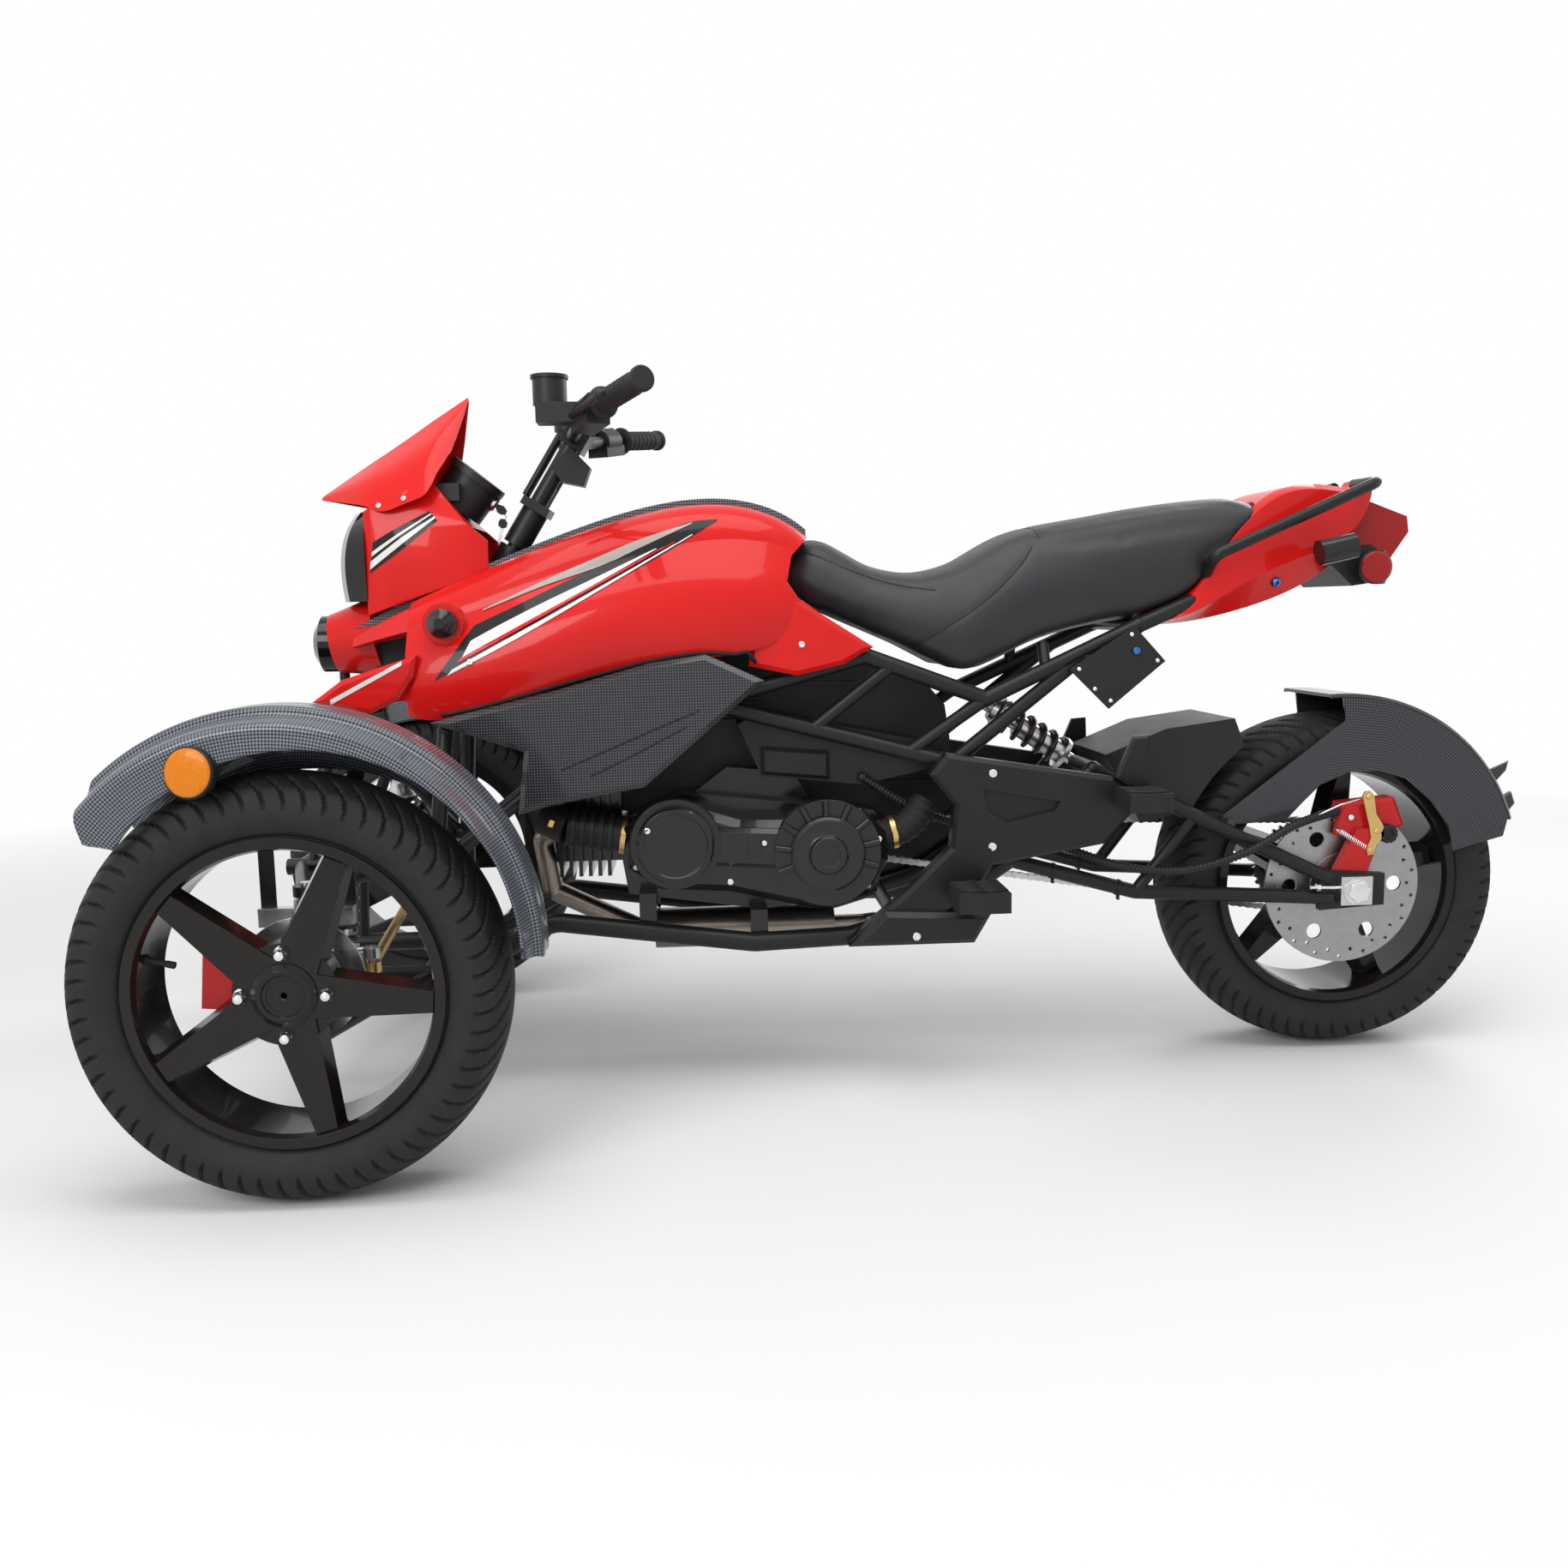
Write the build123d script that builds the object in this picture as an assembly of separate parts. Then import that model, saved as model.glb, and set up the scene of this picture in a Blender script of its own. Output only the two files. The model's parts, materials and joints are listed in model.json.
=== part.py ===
from build123d import *
import math
import os

os.makedirs("parts", exist_ok=True)

# Driving dimensions, mm. X runs forward, Y to the left, Z up from the ground.
WHEELBASE = 1770.0
FRONT_TRACK = 1080.0
FRONT_AXLE_X = 897.0
FRONT_TYRE_R = 314.0
REAR_TYRE_R = 315.0
FRONT_TYRE_HALF = 70.0
REAR_TYRE_HALF = 90.0
RIM_SEAT_R = 216.0
BEAD_GAP = 0.3
FRONT_BEAD_HALF = 50.0
REAR_BEAD_HALF = 70.0
FLANGE_R = 225.0
FLANGE_T = 8.0
RIM_INNER_R = 206.0
SPOKES = 5
SHAFT_PLAY = 0.06
STUB_R = 17.5
KINGPIN_INSET = 85.0
KINGPIN_R = 9.0
FRONT_DISC_R = 92.0
REAR_DISC_R = 145.0
AXLE_R = 10.0
STEM_R = 14.0
STEM_RAKE = math.radians(32.0)
HEAD_AFT = 271.0
HEAD_Z = 956.0
HEAD_LENGTH = 110.0
BAR_R = 11.0
GRIP_R = 17.0
RAIL_R = 17.0
TUBE_R = 14.0
ARM_R = 11.0
SWING_R = 13.0
SWING_Y = 128.0
PIVOT_AFT = 1130.0
PIVOT_Z = 390.0
CHAIN_Y = -104.0
CHAIN_PITCH = 15.875
REAR_TEETH = 36
DRIVE_TEETH = 15
DRIVE_AFT = 930.0
DRIVE_Z = 395.0
REAR_FENDER_GAP = 23.0
MIRROR_THREAD_R = 5.0
MIRROR_THREAD_DEPTH = 15.0

REAR_AXLE_X = FRONT_AXLE_X - WHEELBASE
KINGPIN_Y = FRONT_TRACK / 2 - KINGPIN_INSET


# Shape helpers. Tables give places as (aft of the front axle, left of the middle, up).
def at(aft, y, z):
    return Vector(FRONT_AXLE_X - aft, y, z)


def rear(back, up):
    return (WHEELBASE + back, REAR_TYRE_R + up)


def mirrored(shape):
    return mirror(shape, about=Plane.XZ)


def pair(shape):
    return shape + mirrored(shape)


def face_of(points):
    return make_face(Polyline(*points, close=True).edges())


def plate(outline, y0, y1):
    corners = [at(aft, y0, z) for aft, z in outline]
    return extrude(face_of(corners), amount=y1 - y0, dir=(0, 1, 0))


def bevelled(outline, y0, y1, edge):
    block = plate(outline, y0, y1)
    return chamfer(block.faces().sort_by(Axis.Y)[-1].edges(), edge)


def plan(outline, z0, z1):
    corners = [at(aft, y, z0) for aft, y in outline]
    return extrude(face_of(corners), amount=z1 - z0, dir=(0, 0, 1))


def front_view(outline, aft0, aft1):
    corners = [at(aft0, y, z) for y, z in outline]
    return extrude(face_of(corners), amount=aft1 - aft0, dir=(-1, 0, 0))


def bar(start, end, r):
    a = at(*start)
    b = at(*end)
    return Solid.make_cylinder(r, (b - a).length, Plane(origin=a, z_dir=b - a))


def cone(start, end, r0, r1):
    a = at(*start)
    b = at(*end)
    return Solid.make_cone(r0, r1, (b - a).length, Plane(origin=a, z_dir=b - a))


def tube(points, r, bend):
    path = FilletPolyline(*[at(*p) for p in points], radius=bend)
    return sweep(Plane(origin=path @ 0, z_dir=path % 0) * Circle(r), path=path)


def drum(aft, z, r, y0, y1):
    return Solid.make_cylinder(r, y1 - y0, Plane(origin=at(aft, y0, z), z_dir=(0, 1, 0)))


def box(aft0, aft1, y0, y1, z0, z1):
    middle = at((aft0 + aft1) / 2, (y0 + y1) / 2, (z0 + z1) / 2)
    return Pos(*middle) * Box(aft1 - aft0, y1 - y0, z1 - z0)


WELD = 0.8


def lattice(members):
    balls = {}
    for start, end, r in members:
        balls[end] = max(r + WELD, balls.get(end, 0))
    pieces = [bar(start, end, r) for start, end, r in members]
    return Part() + pieces + [Pos(*at(*place)) * Sphere(r) for place, r in balls.items()]


def turned(profile):
    face = face_of([(r, y, 0) for r, y in profile])
    return revolve(face, Axis.Y, 360)


def arched(profile, start, end):
    face = face_of([(r, y, 0) for r, y in profile])
    return Rot(0, -end, 0) * revolve(face, Axis.Y, end - start)


def disc(r, y0, y1):
    return Solid.make_cylinder(r, y1 - y0, Plane(origin=(0, y0, 0), z_dir=(0, 1, 0)))


def post(x, y, r, z0, z1):
    return Solid.make_cylinder(r, z1 - z0, Plane(origin=(x, y, z0), z_dir=(0, 0, 1)))


def ring_of(shape, radius, count, first):
    pieces = []
    for i in range(count):
        pieces.append(Rot(0, first + i * 360 / count, 0) * (Pos(radius, 0, 0) * shape))
    return pieces


def skin(sections):
    return loft([face_of([at(*p) for p in row]) for row in sections])


nodes = {}


# Tyres
def tyre(crown_r, bead_half, half, shoulder_drop):
    seat = RIM_SEAT_R
    top = FLANGE_R + 2
    wall = (top + crown_r) / 2 - 6
    shoulder = crown_r - shoulder_drop
    edge = half - 10
    outline = [
        Line((seat, -bead_half), (seat, bead_half)),
        Line((seat, bead_half), (top, bead_half)),
        ThreePointArc((top, bead_half), (wall, half), (shoulder, edge)),
        ThreePointArc((shoulder, edge), (crown_r, 0), (shoulder, -edge)),
        ThreePointArc((shoulder, -edge), (wall, -half), (top, -bead_half)),
        Line((top, -bead_half), (seat, -bead_half)),
    ]
    return revolve(make_face(outline), Axis.Y, 360)


# Rims with tapered spokes
def rim(bead_half, spoke_y0, spoke_y1, hub_y0, hub_y1, hub_r, first_angle):
    gap = bead_half + BEAD_GAP
    lip = gap + FLANGE_T
    seat = RIM_SEAT_R - BEAD_GAP
    reach = seat - 2
    blade = [(30, -40), (reach, -22), (reach, 22), (30, 40)]
    pieces = [turned([
        (RIM_INNER_R, -lip), (FLANGE_R, -lip), (FLANGE_R, -gap), (seat, -gap),
        (seat, gap), (FLANGE_R, gap), (FLANGE_R, lip), (RIM_INNER_R + 4, lip), (RIM_INNER_R, lip - 12),
    ])]
    for i in range(SPOKES):
        face = Plane(origin=(0, spoke_y0, 0), x_dir=(-1, 0, 0), z_dir=(0, 1, 0)) * face_of(blade)
        spoke = extrude(face, amount=spoke_y1 - spoke_y0, taper=14)
        pieces.append(Rot(0, first_angle + i * 360 / SPOKES, 0) * spoke)
    pieces.append(disc(hub_r, hub_y0, hub_y1))
    return Part() + pieces


FRONT_LEFT = Pos(FRONT_AXLE_X, FRONT_TRACK / 2, FRONT_TYRE_R)
REAR_MID = Pos(REAR_AXLE_X, 0, REAR_TYRE_R)
SPOKE_FACE = 54.0
HUB_SEAT = 12.0

nodes["tyre_front_left"] = FRONT_LEFT * tyre(FRONT_TYRE_R, FRONT_BEAD_HALF, FRONT_TYRE_HALF, 18)
front_rim = rim(FRONT_BEAD_HALF, SPOKE_FACE - 28, SPOKE_FACE, HUB_SEAT, SPOKE_FACE - 4, 74, -4.9)
front_rim += disc(37, SPOKE_FACE - 6, SPOKE_FACE + 6)
front_rim -= disc(24, SPOKE_FACE + 3, SPOKE_FACE + 10)
nodes["rim_front_left"] = FRONT_LEFT * front_rim

# Front hubs with their discs
front_hub = turned([
    (STUB_R + SHAFT_PLAY, -46), (40, -46), (40, -36), (FRONT_DISC_R, -36), (FRONT_DISC_R, -31), (40, -31),
    (40, 0), (70, 0), (70, HUB_SEAT), (0, HUB_SEAT), (0, 4), (STUB_R + SHAFT_PLAY, 4),
])
front_hub -= ring_of(disc(8, -40, -25), 58, 8, 0)
nodes["hub_front_left"] = FRONT_LEFT * front_hub

# Knuckles with stub axle, steering arm and caliper plate, seen from the wheel centre
ARM_BACK = -85.0
ARM_SIDE = -100.0
ARM_UP = 20.0
BALL_R = 6.0
TOP_PIN = 122.0
LOW_PIN = -107.0
PAD_FACE = -90.0
knuckle_plate = face_of([(0, -74, -30), (120, -74, -28), (140, -74, 20), (120, -74, 45), (0, -74, 60)])
arm_from = Vector(0, -KINGPIN_INSET, ARM_UP)
arm_way = Vector(ARM_BACK, ARM_SIDE, ARM_UP) - arm_from
front_knuckle = Part() + [
    post(0, -KINGPIN_INSET, 20, LOW_PIN + 12, TOP_PIN - 12),
    post(0, -KINGPIN_INSET, KINGPIN_R, LOW_PIN - 14, TOP_PIN + 13),
    disc(34, -KINGPIN_INSET, -52),
    disc(STUB_R, -52, 0),
    Pos(0, (PAD_FACE - 72) / 2, 84) * Box(140, -72 - PAD_FACE, 28),
    extrude(knuckle_plate, amount=12, dir=(0, 1, 0)),
    Solid.make_cylinder(10, arm_way.length - 10, Plane(origin=arm_from, z_dir=arm_way)),
    post(ARM_BACK, ARM_SIDE, 14, ARM_UP - 8, ARM_UP + 8),
    post(ARM_BACK, ARM_SIDE, BALL_R, ARM_UP - 30, ARM_UP + 10),
]
nodes["knuckle_left"] = FRONT_LEFT * front_knuckle

# Front calipers ahead of the axle
front_caliper = Pos(104, -36, 8) * Rot(0, -5, 0) * Box(62, 52, 88)
front_caliper -= turned([(0, -41), (FRONT_DISC_R + 6, -41), (FRONT_DISC_R + 6, -26), (0, -26)])
front_caliper -= disc(64, -70, 10)
nodes["caliper_front_left"] = FRONT_LEFT * front_caliper

# Front fenders: a two-step arch about a point above the axle, and the stays that carry it
FENDER_RISE = 45.0
FENDER_CREST = FRONT_TYRE_R + 48.0
FENDER_NOSE = 250.0
FENDER_TRIM_R = 300.0
fender_rows = ((-95, 84), (-22, 78), (-12, 47), (0, 36))
fender_out = [(FENDER_CREST + drop, y) for drop, y in fender_rows]
fender_in = [(r - 4.5, y - 3.5) for r, y in fender_out]
fender_outline = fender_out + [(r, -y) for r, y in reversed(fender_out)]
fender_outline += [(r, -y) for r, y in fender_in] + list(reversed(fender_in))
fender_skin = Pos(0, 0, FENDER_RISE) * arched(fender_outline, 30, 181)
fender_skin -= Pos(FENDER_NOSE + 100, 0, 250) * Box(200, 300, 500)
fender_skin -= Pos(-40, 0, FENDER_RISE + 8) * disc(FENDER_TRIM_R, -120, 120)
stay_outline = [(70, 72), (48, 72), (48, 200), (80, 352), (106, 345), (70, 195)]
stay = extrude(face_of([(x, PAD_FACE - 6, z) for x, z in stay_outline]), amount=6, dir=(0, 1, 0))
tab_r = FENDER_CREST - 40
tab_outline = [(tab_r - 6, -96), (tab_r + 12, -96), (tab_r + 12, -76), (tab_r - 6, -80)]
stay_tab = Pos(0, 0, FENDER_RISE) * arched(tab_outline, 68, 78)
fender_stay = stay + stay_tab
nodes["fender_front_left"] = FRONT_LEFT * (fender_skin + fender_stay + mirror(fender_stay, about=Plane.YZ))

# Tie rods, drawn with the wheels straight
TIE_Z = FRONT_TYRE_R + ARM_UP - 30
RACK_Z = TIE_Z + 55
tie_y = FRONT_TRACK / 2 + ARM_SIDE
tie_rod = bar((-ARM_BACK, tie_y, TIE_Z + 8), (-ARM_BACK, 96, RACK_Z), 8)
tie_rod += bar((-ARM_BACK, 122, RACK_Z - 4), (-ARM_BACK, 96, RACK_Z), 14)
tie_rod += post(FRONT_AXLE_X + ARM_BACK, tie_y, 15, TIE_Z, TIE_Z + 16)
tie_rod -= post(FRONT_AXLE_X + ARM_BACK, tie_y, BALL_R + SHAFT_PLAY, TIE_Z - 10, TIE_Z + 30)
nodes["tie_rod_left"] = tie_rod

for name in list(nodes):
    nodes[name.replace("left", "right")] = mirrored(nodes[name])

# Rear wheel
HUB_LEFT = 89.0
HUB_RIGHT = -86.0
rear_rim = rim(REAR_BEAD_HALF, -10, 34, HUB_RIGHT, HUB_LEFT, 52, 10)
nodes["tyre_rear"] = REAR_MID * tyre(REAR_TYRE_R, REAR_BEAD_HALF, REAR_TYRE_HALF, 22)
nodes["rim_rear"] = REAR_MID * (rear_rim - disc(AXLE_R + SHAFT_PLAY, -110, 110))

rear_disc = turned([
    (AXLE_R + 4, HUB_LEFT), (REAR_DISC_R, HUB_LEFT), (REAR_DISC_R, HUB_LEFT + 5), (60, HUB_LEFT + 5),
    (60, HUB_LEFT + 7), (AXLE_R + 4, HUB_LEFT + 7),
])
rear_disc -= ring_of(disc(14, 80, 110), REAR_DISC_R - 46, 6, 0)
drilling = disc(3.5, 80, 110)
rear_disc -= ring_of(drilling, REAR_DISC_R - 21, 18, 0) + ring_of(drilling, REAR_DISC_R - 10, 18, 10)
nodes["brake_disc_rear"] = REAR_MID * rear_disc

# Rear sprocket: tooth tips end just inside the chain
ROOT_GAP = 9.0
TIP_GAP = 3.8
REAR_PITCH_R = CHAIN_PITCH / 2 / math.sin(math.pi / REAR_TEETH)
DRIVE_PITCH_R = CHAIN_PITCH / 2 / math.sin(math.pi / DRIVE_TEETH)
tooth_rim = []
for i in range(REAR_TEETH):
    for step, drop in ((0.0, ROOT_GAP), (0.42, ROOT_GAP), (0.58, TIP_GAP), (0.84, TIP_GAP)):
        turn = 2 * math.pi * (i + step) / REAR_TEETH
        r = REAR_PITCH_R - drop
        tooth_rim.append((r * math.cos(turn), CHAIN_Y - 3, r * math.sin(turn)))
sprocket = extrude(face_of(tooth_rim), amount=6, dir=(0, 1, 0)) + disc(50, CHAIN_Y + 3, HUB_RIGHT)
sprocket -= [disc(AXLE_R + 4, CHAIN_Y - 20, -60)] + ring_of(disc(9, CHAIN_Y - 20, CHAIN_Y + 20), 64, 6, 0)
nodes["sprocket_rear"] = REAR_MID * sprocket

# Chain loop round the drive sprocket and the rear sprocket
gap_x = WHEELBASE - DRIVE_AFT
gap_z = REAR_TYRE_R - DRIVE_Z
slope = math.atan2(gap_z, gap_x)
lean = math.asin((REAR_PITCH_R - DRIVE_PITCH_R) / math.hypot(gap_x, gap_z))


def chain_outline(extra, y):
    small = DRIVE_PITCH_R + extra
    big = REAR_PITCH_R + extra
    up_turn = slope + math.pi / 2 + lean
    low_turn = slope - math.pi / 2 - lean

    def on(aft, z, r, turn):
        return at(aft + r * math.cos(turn), y, z + r * math.sin(turn))

    top_small = on(DRIVE_AFT, DRIVE_Z, small, up_turn)
    low_small = on(DRIVE_AFT, DRIVE_Z, small, low_turn)
    top_big = on(WHEELBASE, REAR_TYRE_R, big, up_turn)
    low_big = on(WHEELBASE, REAR_TYRE_R, big, low_turn)
    back = on(WHEELBASE, REAR_TYRE_R, big, slope)
    front = on(DRIVE_AFT, DRIVE_Z, small, slope + math.pi)
    return make_face([
        Line(top_small, top_big), ThreePointArc(top_big, back, low_big),
        Line(low_big, low_small), ThreePointArc(low_small, front, top_small),
    ])


def chain_band(half, y0, y1):
    ring = extrude(chain_outline(half, y0), amount=y1 - y0, dir=(0, 1, 0))
    return ring - extrude(chain_outline(-half, y0), amount=y1 - y0, dir=(0, 1, 0))


nodes["chain"] = Part() + [
    chain_band(6.5, CHAIN_Y - 8, CHAIN_Y - 5), chain_band(3.5, CHAIN_Y - 5, CHAIN_Y + 5),
    chain_band(6.5, CHAIN_Y + 5, CHAIN_Y + 8),
]

# Front box of the frame, round the suspension
LOW_Z = FRONT_TYRE_R - 100
HIGH_Z = FRONT_TYRE_R + 106
TOWER_Z = FRONT_TYRE_R + 252
LOW_Y = 130.0
HIGH_Y = 165.0
TOWER_Y = 150.0
box_side = lattice((
    ((-132, LOW_Y, LOW_Z), (150, LOW_Y, LOW_Z), RAIL_R),
    ((-112, HIGH_Y, HIGH_Z), (150, HIGH_Y, HIGH_Z), TUBE_R),
    ((-68, LOW_Y, LOW_Z), (-68, HIGH_Y, HIGH_Z), 12),
    ((138, LOW_Y, LOW_Z), (138, HIGH_Y, HIGH_Z), 12.5),
    ((-60, HIGH_Y - 2, HIGH_Z), (0, TOWER_Y, TOWER_Z), 11),
    ((122, HIGH_Y - 2, HIGH_Z), (0, TOWER_Y, TOWER_Z), 11),
    ((-68, HIGH_Y, HIGH_Z), (-40, 90, 700), 11.5),
))
frame_front = pair(box_side) + [
    drum(-100, LOW_Z, 13, -LOW_Y, LOW_Y), drum(104, LOW_Z, 13, -LOW_Y, LOW_Y),
    drum(-92, HIGH_Z, 11, -HIGH_Y, HIGH_Y), drum(105, HIGH_Z, 11, -HIGH_Y, HIGH_Y),
    drum(0, TOWER_Z, 13, -240, 240), drum(-40, 700, 10, -90, 90), bar((-40, 0, 700), (-40, 0, 760), 9),
]
nodes["frame_front"] = frame_front

# Lower rails under the engine
rail = tube(((160, LOW_Y, LOW_Z), (330, 150, 306), (680, 150, 258), (850, 150, 264), (1010, 150, 310),
             (PIVOT_AFT, 150, PIVOT_Z)), RAIL_R, 60)
frame_rails = pair(rail) + [drum(262, 268, 13, -142, 142), drum(935, 288, 13, -150, 150)]
frame_rails -= frame_front
nodes["frame_rails"] = frame_rails

# Spine: steering head, its legs and the upper rails
stem_up = Vector(-math.sin(STEM_RAKE), 0, math.cos(STEM_RAKE))


def on_stem(distance):
    return at(HEAD_AFT, 0, HEAD_Z) + stem_up * distance


spine_side = lattice((
    ((136, HIGH_Y, HIGH_Z), (155, 116, 640), TUBE_R),
    ((155, 116, 640), (226, 24, 888), TUBE_R),
    ((150, HIGH_Y, HIGH_Z), (330, 118, 560), 13),
    ((330, 118, 560), (640, 120, 690), 13),
))
head_tube = Solid.make_cylinder(26, HEAD_LENGTH, Plane(origin=on_stem(-HEAD_LENGTH), z_dir=stem_up))
frame_spine = pair(spine_side) + [head_tube, bar((225, 0, 884), (30, 0, 884), 9)]
frame_spine -= Solid.make_cylinder(STEM_R + SHAFT_PLAY, 400, Plane(origin=on_stem(-300), z_dir=stem_up))
frame_spine -= frame_front
nodes["frame_spine"] = frame_spine

# Trellis of straight tubes under the seat
trellis_side = lattice((
    ((640, 120, 690), (883, 150, 757), TUBE_R),
    ((883, 150, 757), (1093, 150, 678), TUBE_R),
    ((1093, 150, 678), (1365, 140, 800), TUBE_R),
    ((1365, 140, 800), (1620, 90, 900), TUBE_R),
    ((640, 130, 672), (1032, 150, 567), TUBE_R),
    ((790, 138, 632), (928, 150, 740), 12),
    ((957, 147, 587), (1093, 150, 678), 12),
    ((1032, 150, 567), (1290, 143, 767), 13),
    ((1032, 150, 567), (PIVOT_AFT, 150, PIVOT_Z), TUBE_R),
))
trellis = pair(trellis_side) + [
    drum(652, 684, 11, -122, 122), drum(1032, 567, 11, -150, 150), drum(1093, 678, 11, -150, 150),
    drum(1365, 800, 11, -140, 140), drum(1620, 900, 11, -90, 90),
    pair(bar((1200, 146, 726), (1200, 120, 772), 10)), pair(drum(860, 762, 8, 147, 168)),
]
trellis -= frame_spine + frame_rails
nodes["frame_trellis"] = trellis
frame_all = [frame_front, frame_rails, frame_spine, trellis]

# Engine block, finned cylinder, right crank cover, drive sprocket, lugs
engine = Part() + [
    plate([(440, 470), (560, 520), (900, 480), (930, 440), (905, 330), (700, 305), (460, 340)], -120, 95),
    box(330, 450, -62, 62, 396, 520),
    drum(547, 442, 78, -150, -120),
    plate([(560, 500), (640, 560), (760, 548), (800, 480)], -80, 60),
]
engine += [box(338 + i * 17, 345 + i * 17, -84, 84, 372, 544) for i in range(6)]
engine -= box(840, 960, -130, -88, 300, 520)
engine += [
    drum(DRIVE_AFT, DRIVE_Z, 22, -96, -80), drum(DRIVE_AFT, DRIVE_Z, 14, CHAIN_Y - 14, -80),
    drum(DRIVE_AFT, DRIVE_Z, DRIVE_PITCH_R - TIP_GAP, CHAIN_Y - 3, CHAIN_Y + 3),
    pair(box(675, 705, 80, 146, 262, 315)), pair(box(480, 510, 80, 146, 275, 350)),
]
engine -= frame_all
nodes["engine_case"] = engine

# Belt drive cover on the left
CRANK = (547, 442)
CLUTCH = (809, 420)
cvt = bevelled([
    (456, 468), (500, 502), (590, 500), (660, 478), (745, 476), (800, 510), (872, 492), (914, 450),
    (918, 400), (880, 338), (780, 318), (640, 352), (520, 360), (462, 400),
], 95, 172, 14)
cvt += [
    drum(*CRANK, 78, 160, 184), drum(*CRANK, 64, 184, 200), drum(*CLUTCH, 93, 160, 186),
    drum(*CLUTCH, 62, 186, 204), drum(*CLUTCH, 30, 204, 212), drum(683, 428, 12, 160, 184),
    bevelled([(600, 470), (740, 462), (740, 392), (600, 402)], 160, 182, 8),
]
for i in range(9):
    turn = math.radians(-20 + i * 27)
    along = (math.cos(turn), math.sin(turn))
    cvt += bar((CLUTCH[0] - 60 * along[0], 189, CLUTCH[1] + 60 * along[1]),
               (CLUTCH[0] - 91 * along[0], 189, CLUTCH[1] + 91 * along[1]), 6)
nodes["belt_cover"] = cvt

# Bellows that feed the belt cover
ducts = Part() + [bar((460, 130, 452), (360, 130, 470), 32), bar((360, 130, 470), (318, 118, 488), 32)]
ducts += [bar((366 + i * 16, 130, 469 - i * 2.8), (374 + i * 16, 130, 468 - i * 2.8), 37) for i in range(5)]
ducts -= [cvt, engine] + frame_all
nodes["intake_bellows"] = ducts

# Air box under the tank
airbox = plate([(660, 640), (700, 664), (1000, 600), (1012, 556), (880, 528), (700, 548)], -112, 112)
airbox += drum(800, 629, 8, -138, 138)
airbox += bevelled([(700, 600), (820, 590), (820, 540), (700, 552)], 112, 124, 6)
airbox -= [trellis, engine]
nodes["air_box"] = airbox

# Exhaust: header down from the cylinder, can under the engine, outlet to the right
exhaust = tube(((345, -20, 440), (296, -24, 432), (310, -60, 320), (470, -60, 240), (840, -60, 240)), 19, 20)
exhaust += bar((500, -60, 240), (840, -60, 240), 38)
exhaust += tube(((830, -60, 240), (895, -60, 240), (925, -108, 232)), 14, 20)
exhaust -= [engine] + frame_all
nodes["exhaust"] = exhaust

# Body sides: lofted skins with a valley for the stripes and a bulge under it
SEAT_FRONT = ((787, 961), (757, 929), (747, 886), (766, 858))
SIDES = (
    # aft, then (y, z) of top, shoulder, valley, belt, bulge, foot, inner foot
    (110, (82, 862), (140, 854), (172, 815), (196, 780), (206, 738), (196, 674), (150, 674)),
    (300, (95, 939), (165, 922), (192, 872), (224, 824), (238, 782), (214, 698), (160, 698)),
    (500, (100, 1004), (165, 986), (192, 936), (222, 888), (238, 840), (210, 750), (160, 750)),
    (640, (100, 1019), (158, 1002), (180, 958), (207, 906), (224, 855), (204, 764), (152, 764)),
    (800, (92, 952), (128, 940), (142, 920), (154, 898), (160, 874), (156, 836), (112, 836)),
)


def side_face(aft, *row):
    top, shoulder, valley, belt, bulge, foot, inner = [at(aft, y, z) for y, z in row]
    return make_face([
        ThreePointArc(top, shoulder, valley), Line(valley, belt), ThreePointArc(belt, bulge, foot),
        Line(foot, inner), Line(inner, top),
    ])


side = loft([side_face(*row) for row in SIDES])
blade_top = skin([
    [(0, 62, 806), (0, 88, 803), (0, 97, 788), (0, 66, 786)],
    [(60, 73, 838), (60, 118, 832), (60, 136, 803), (60, 76, 798)],
    [(114, 82, 862), (114, 140, 854), (114, 172, 815), (114, 84, 806)],
])
flap = bevelled([(690, 850), (750, 866), (893, 773), (842, 745), (761, 727), (680, 745)], 168, 188, 8)
blade = bevelled([(132, 776), (10, 738), (-40, 702), (55, 682), (100, 704), (126, 742)], 206, 226, 7)
blade += plate([(60, 700), (70, 750), (128, 772), (150, 770), (150, 700)], 180, 206)
behind_seat = [(1000, 1100), (787, 1100)] + list(SEAT_FRONT) + [(893, 776), (1000, 776)]
SIGNAL_AFT = 176.0
SIGNAL_Z = 827.0
SIGNAL_Y = 208.0
boss = drum(SIGNAL_AFT, SIGNAL_Z, 34, 150, SIGNAL_Y)
body_side = Part() + [side, blade_top, flap, blade, boss]
body_side -= plate(behind_seat, 0, 300)
nodes["body_sides"] = pair(body_side)

# Tank top strip between the sides
STRIP = (
    # aft, half width, side height
    (-4, 61.4, 806), (110, 81.4, 862), (300, 94.4, 939),
    (500, 99.4, 1004), (640, 99.4, 1019), (800, 91.4, 952),
)
strip = skin([[(aft, -w, z - 22), (aft, w, z - 22), (aft, w, z + 12), (aft, 0, z + 20), (aft, -w, z + 12)]
              for aft, w, z in STRIP])
strip -= [box(-30, 326, -50, 50, 700, 1050), plate(behind_seat, -300, 300)]

# Nose cowl behind the headlamp, with a chin round the lower lamp
LENS_AFT = 28.0
LAMP_Z = 793.0
LAMP_R = 50.0


def bowed(ends, middle):
    mirror_of = [Vector(p.X, -p.Y, p.Z) for p in (ends[0], middle, ends[1])]
    return make_face([
        ThreePointArc(ends[0], middle, ends[1]), Line(ends[1], mirror_of[2]),
        ThreePointArc(mirror_of[2], mirror_of[1], mirror_of[0]), Line(mirror_of[0], ends[0]),
    ])


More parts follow.
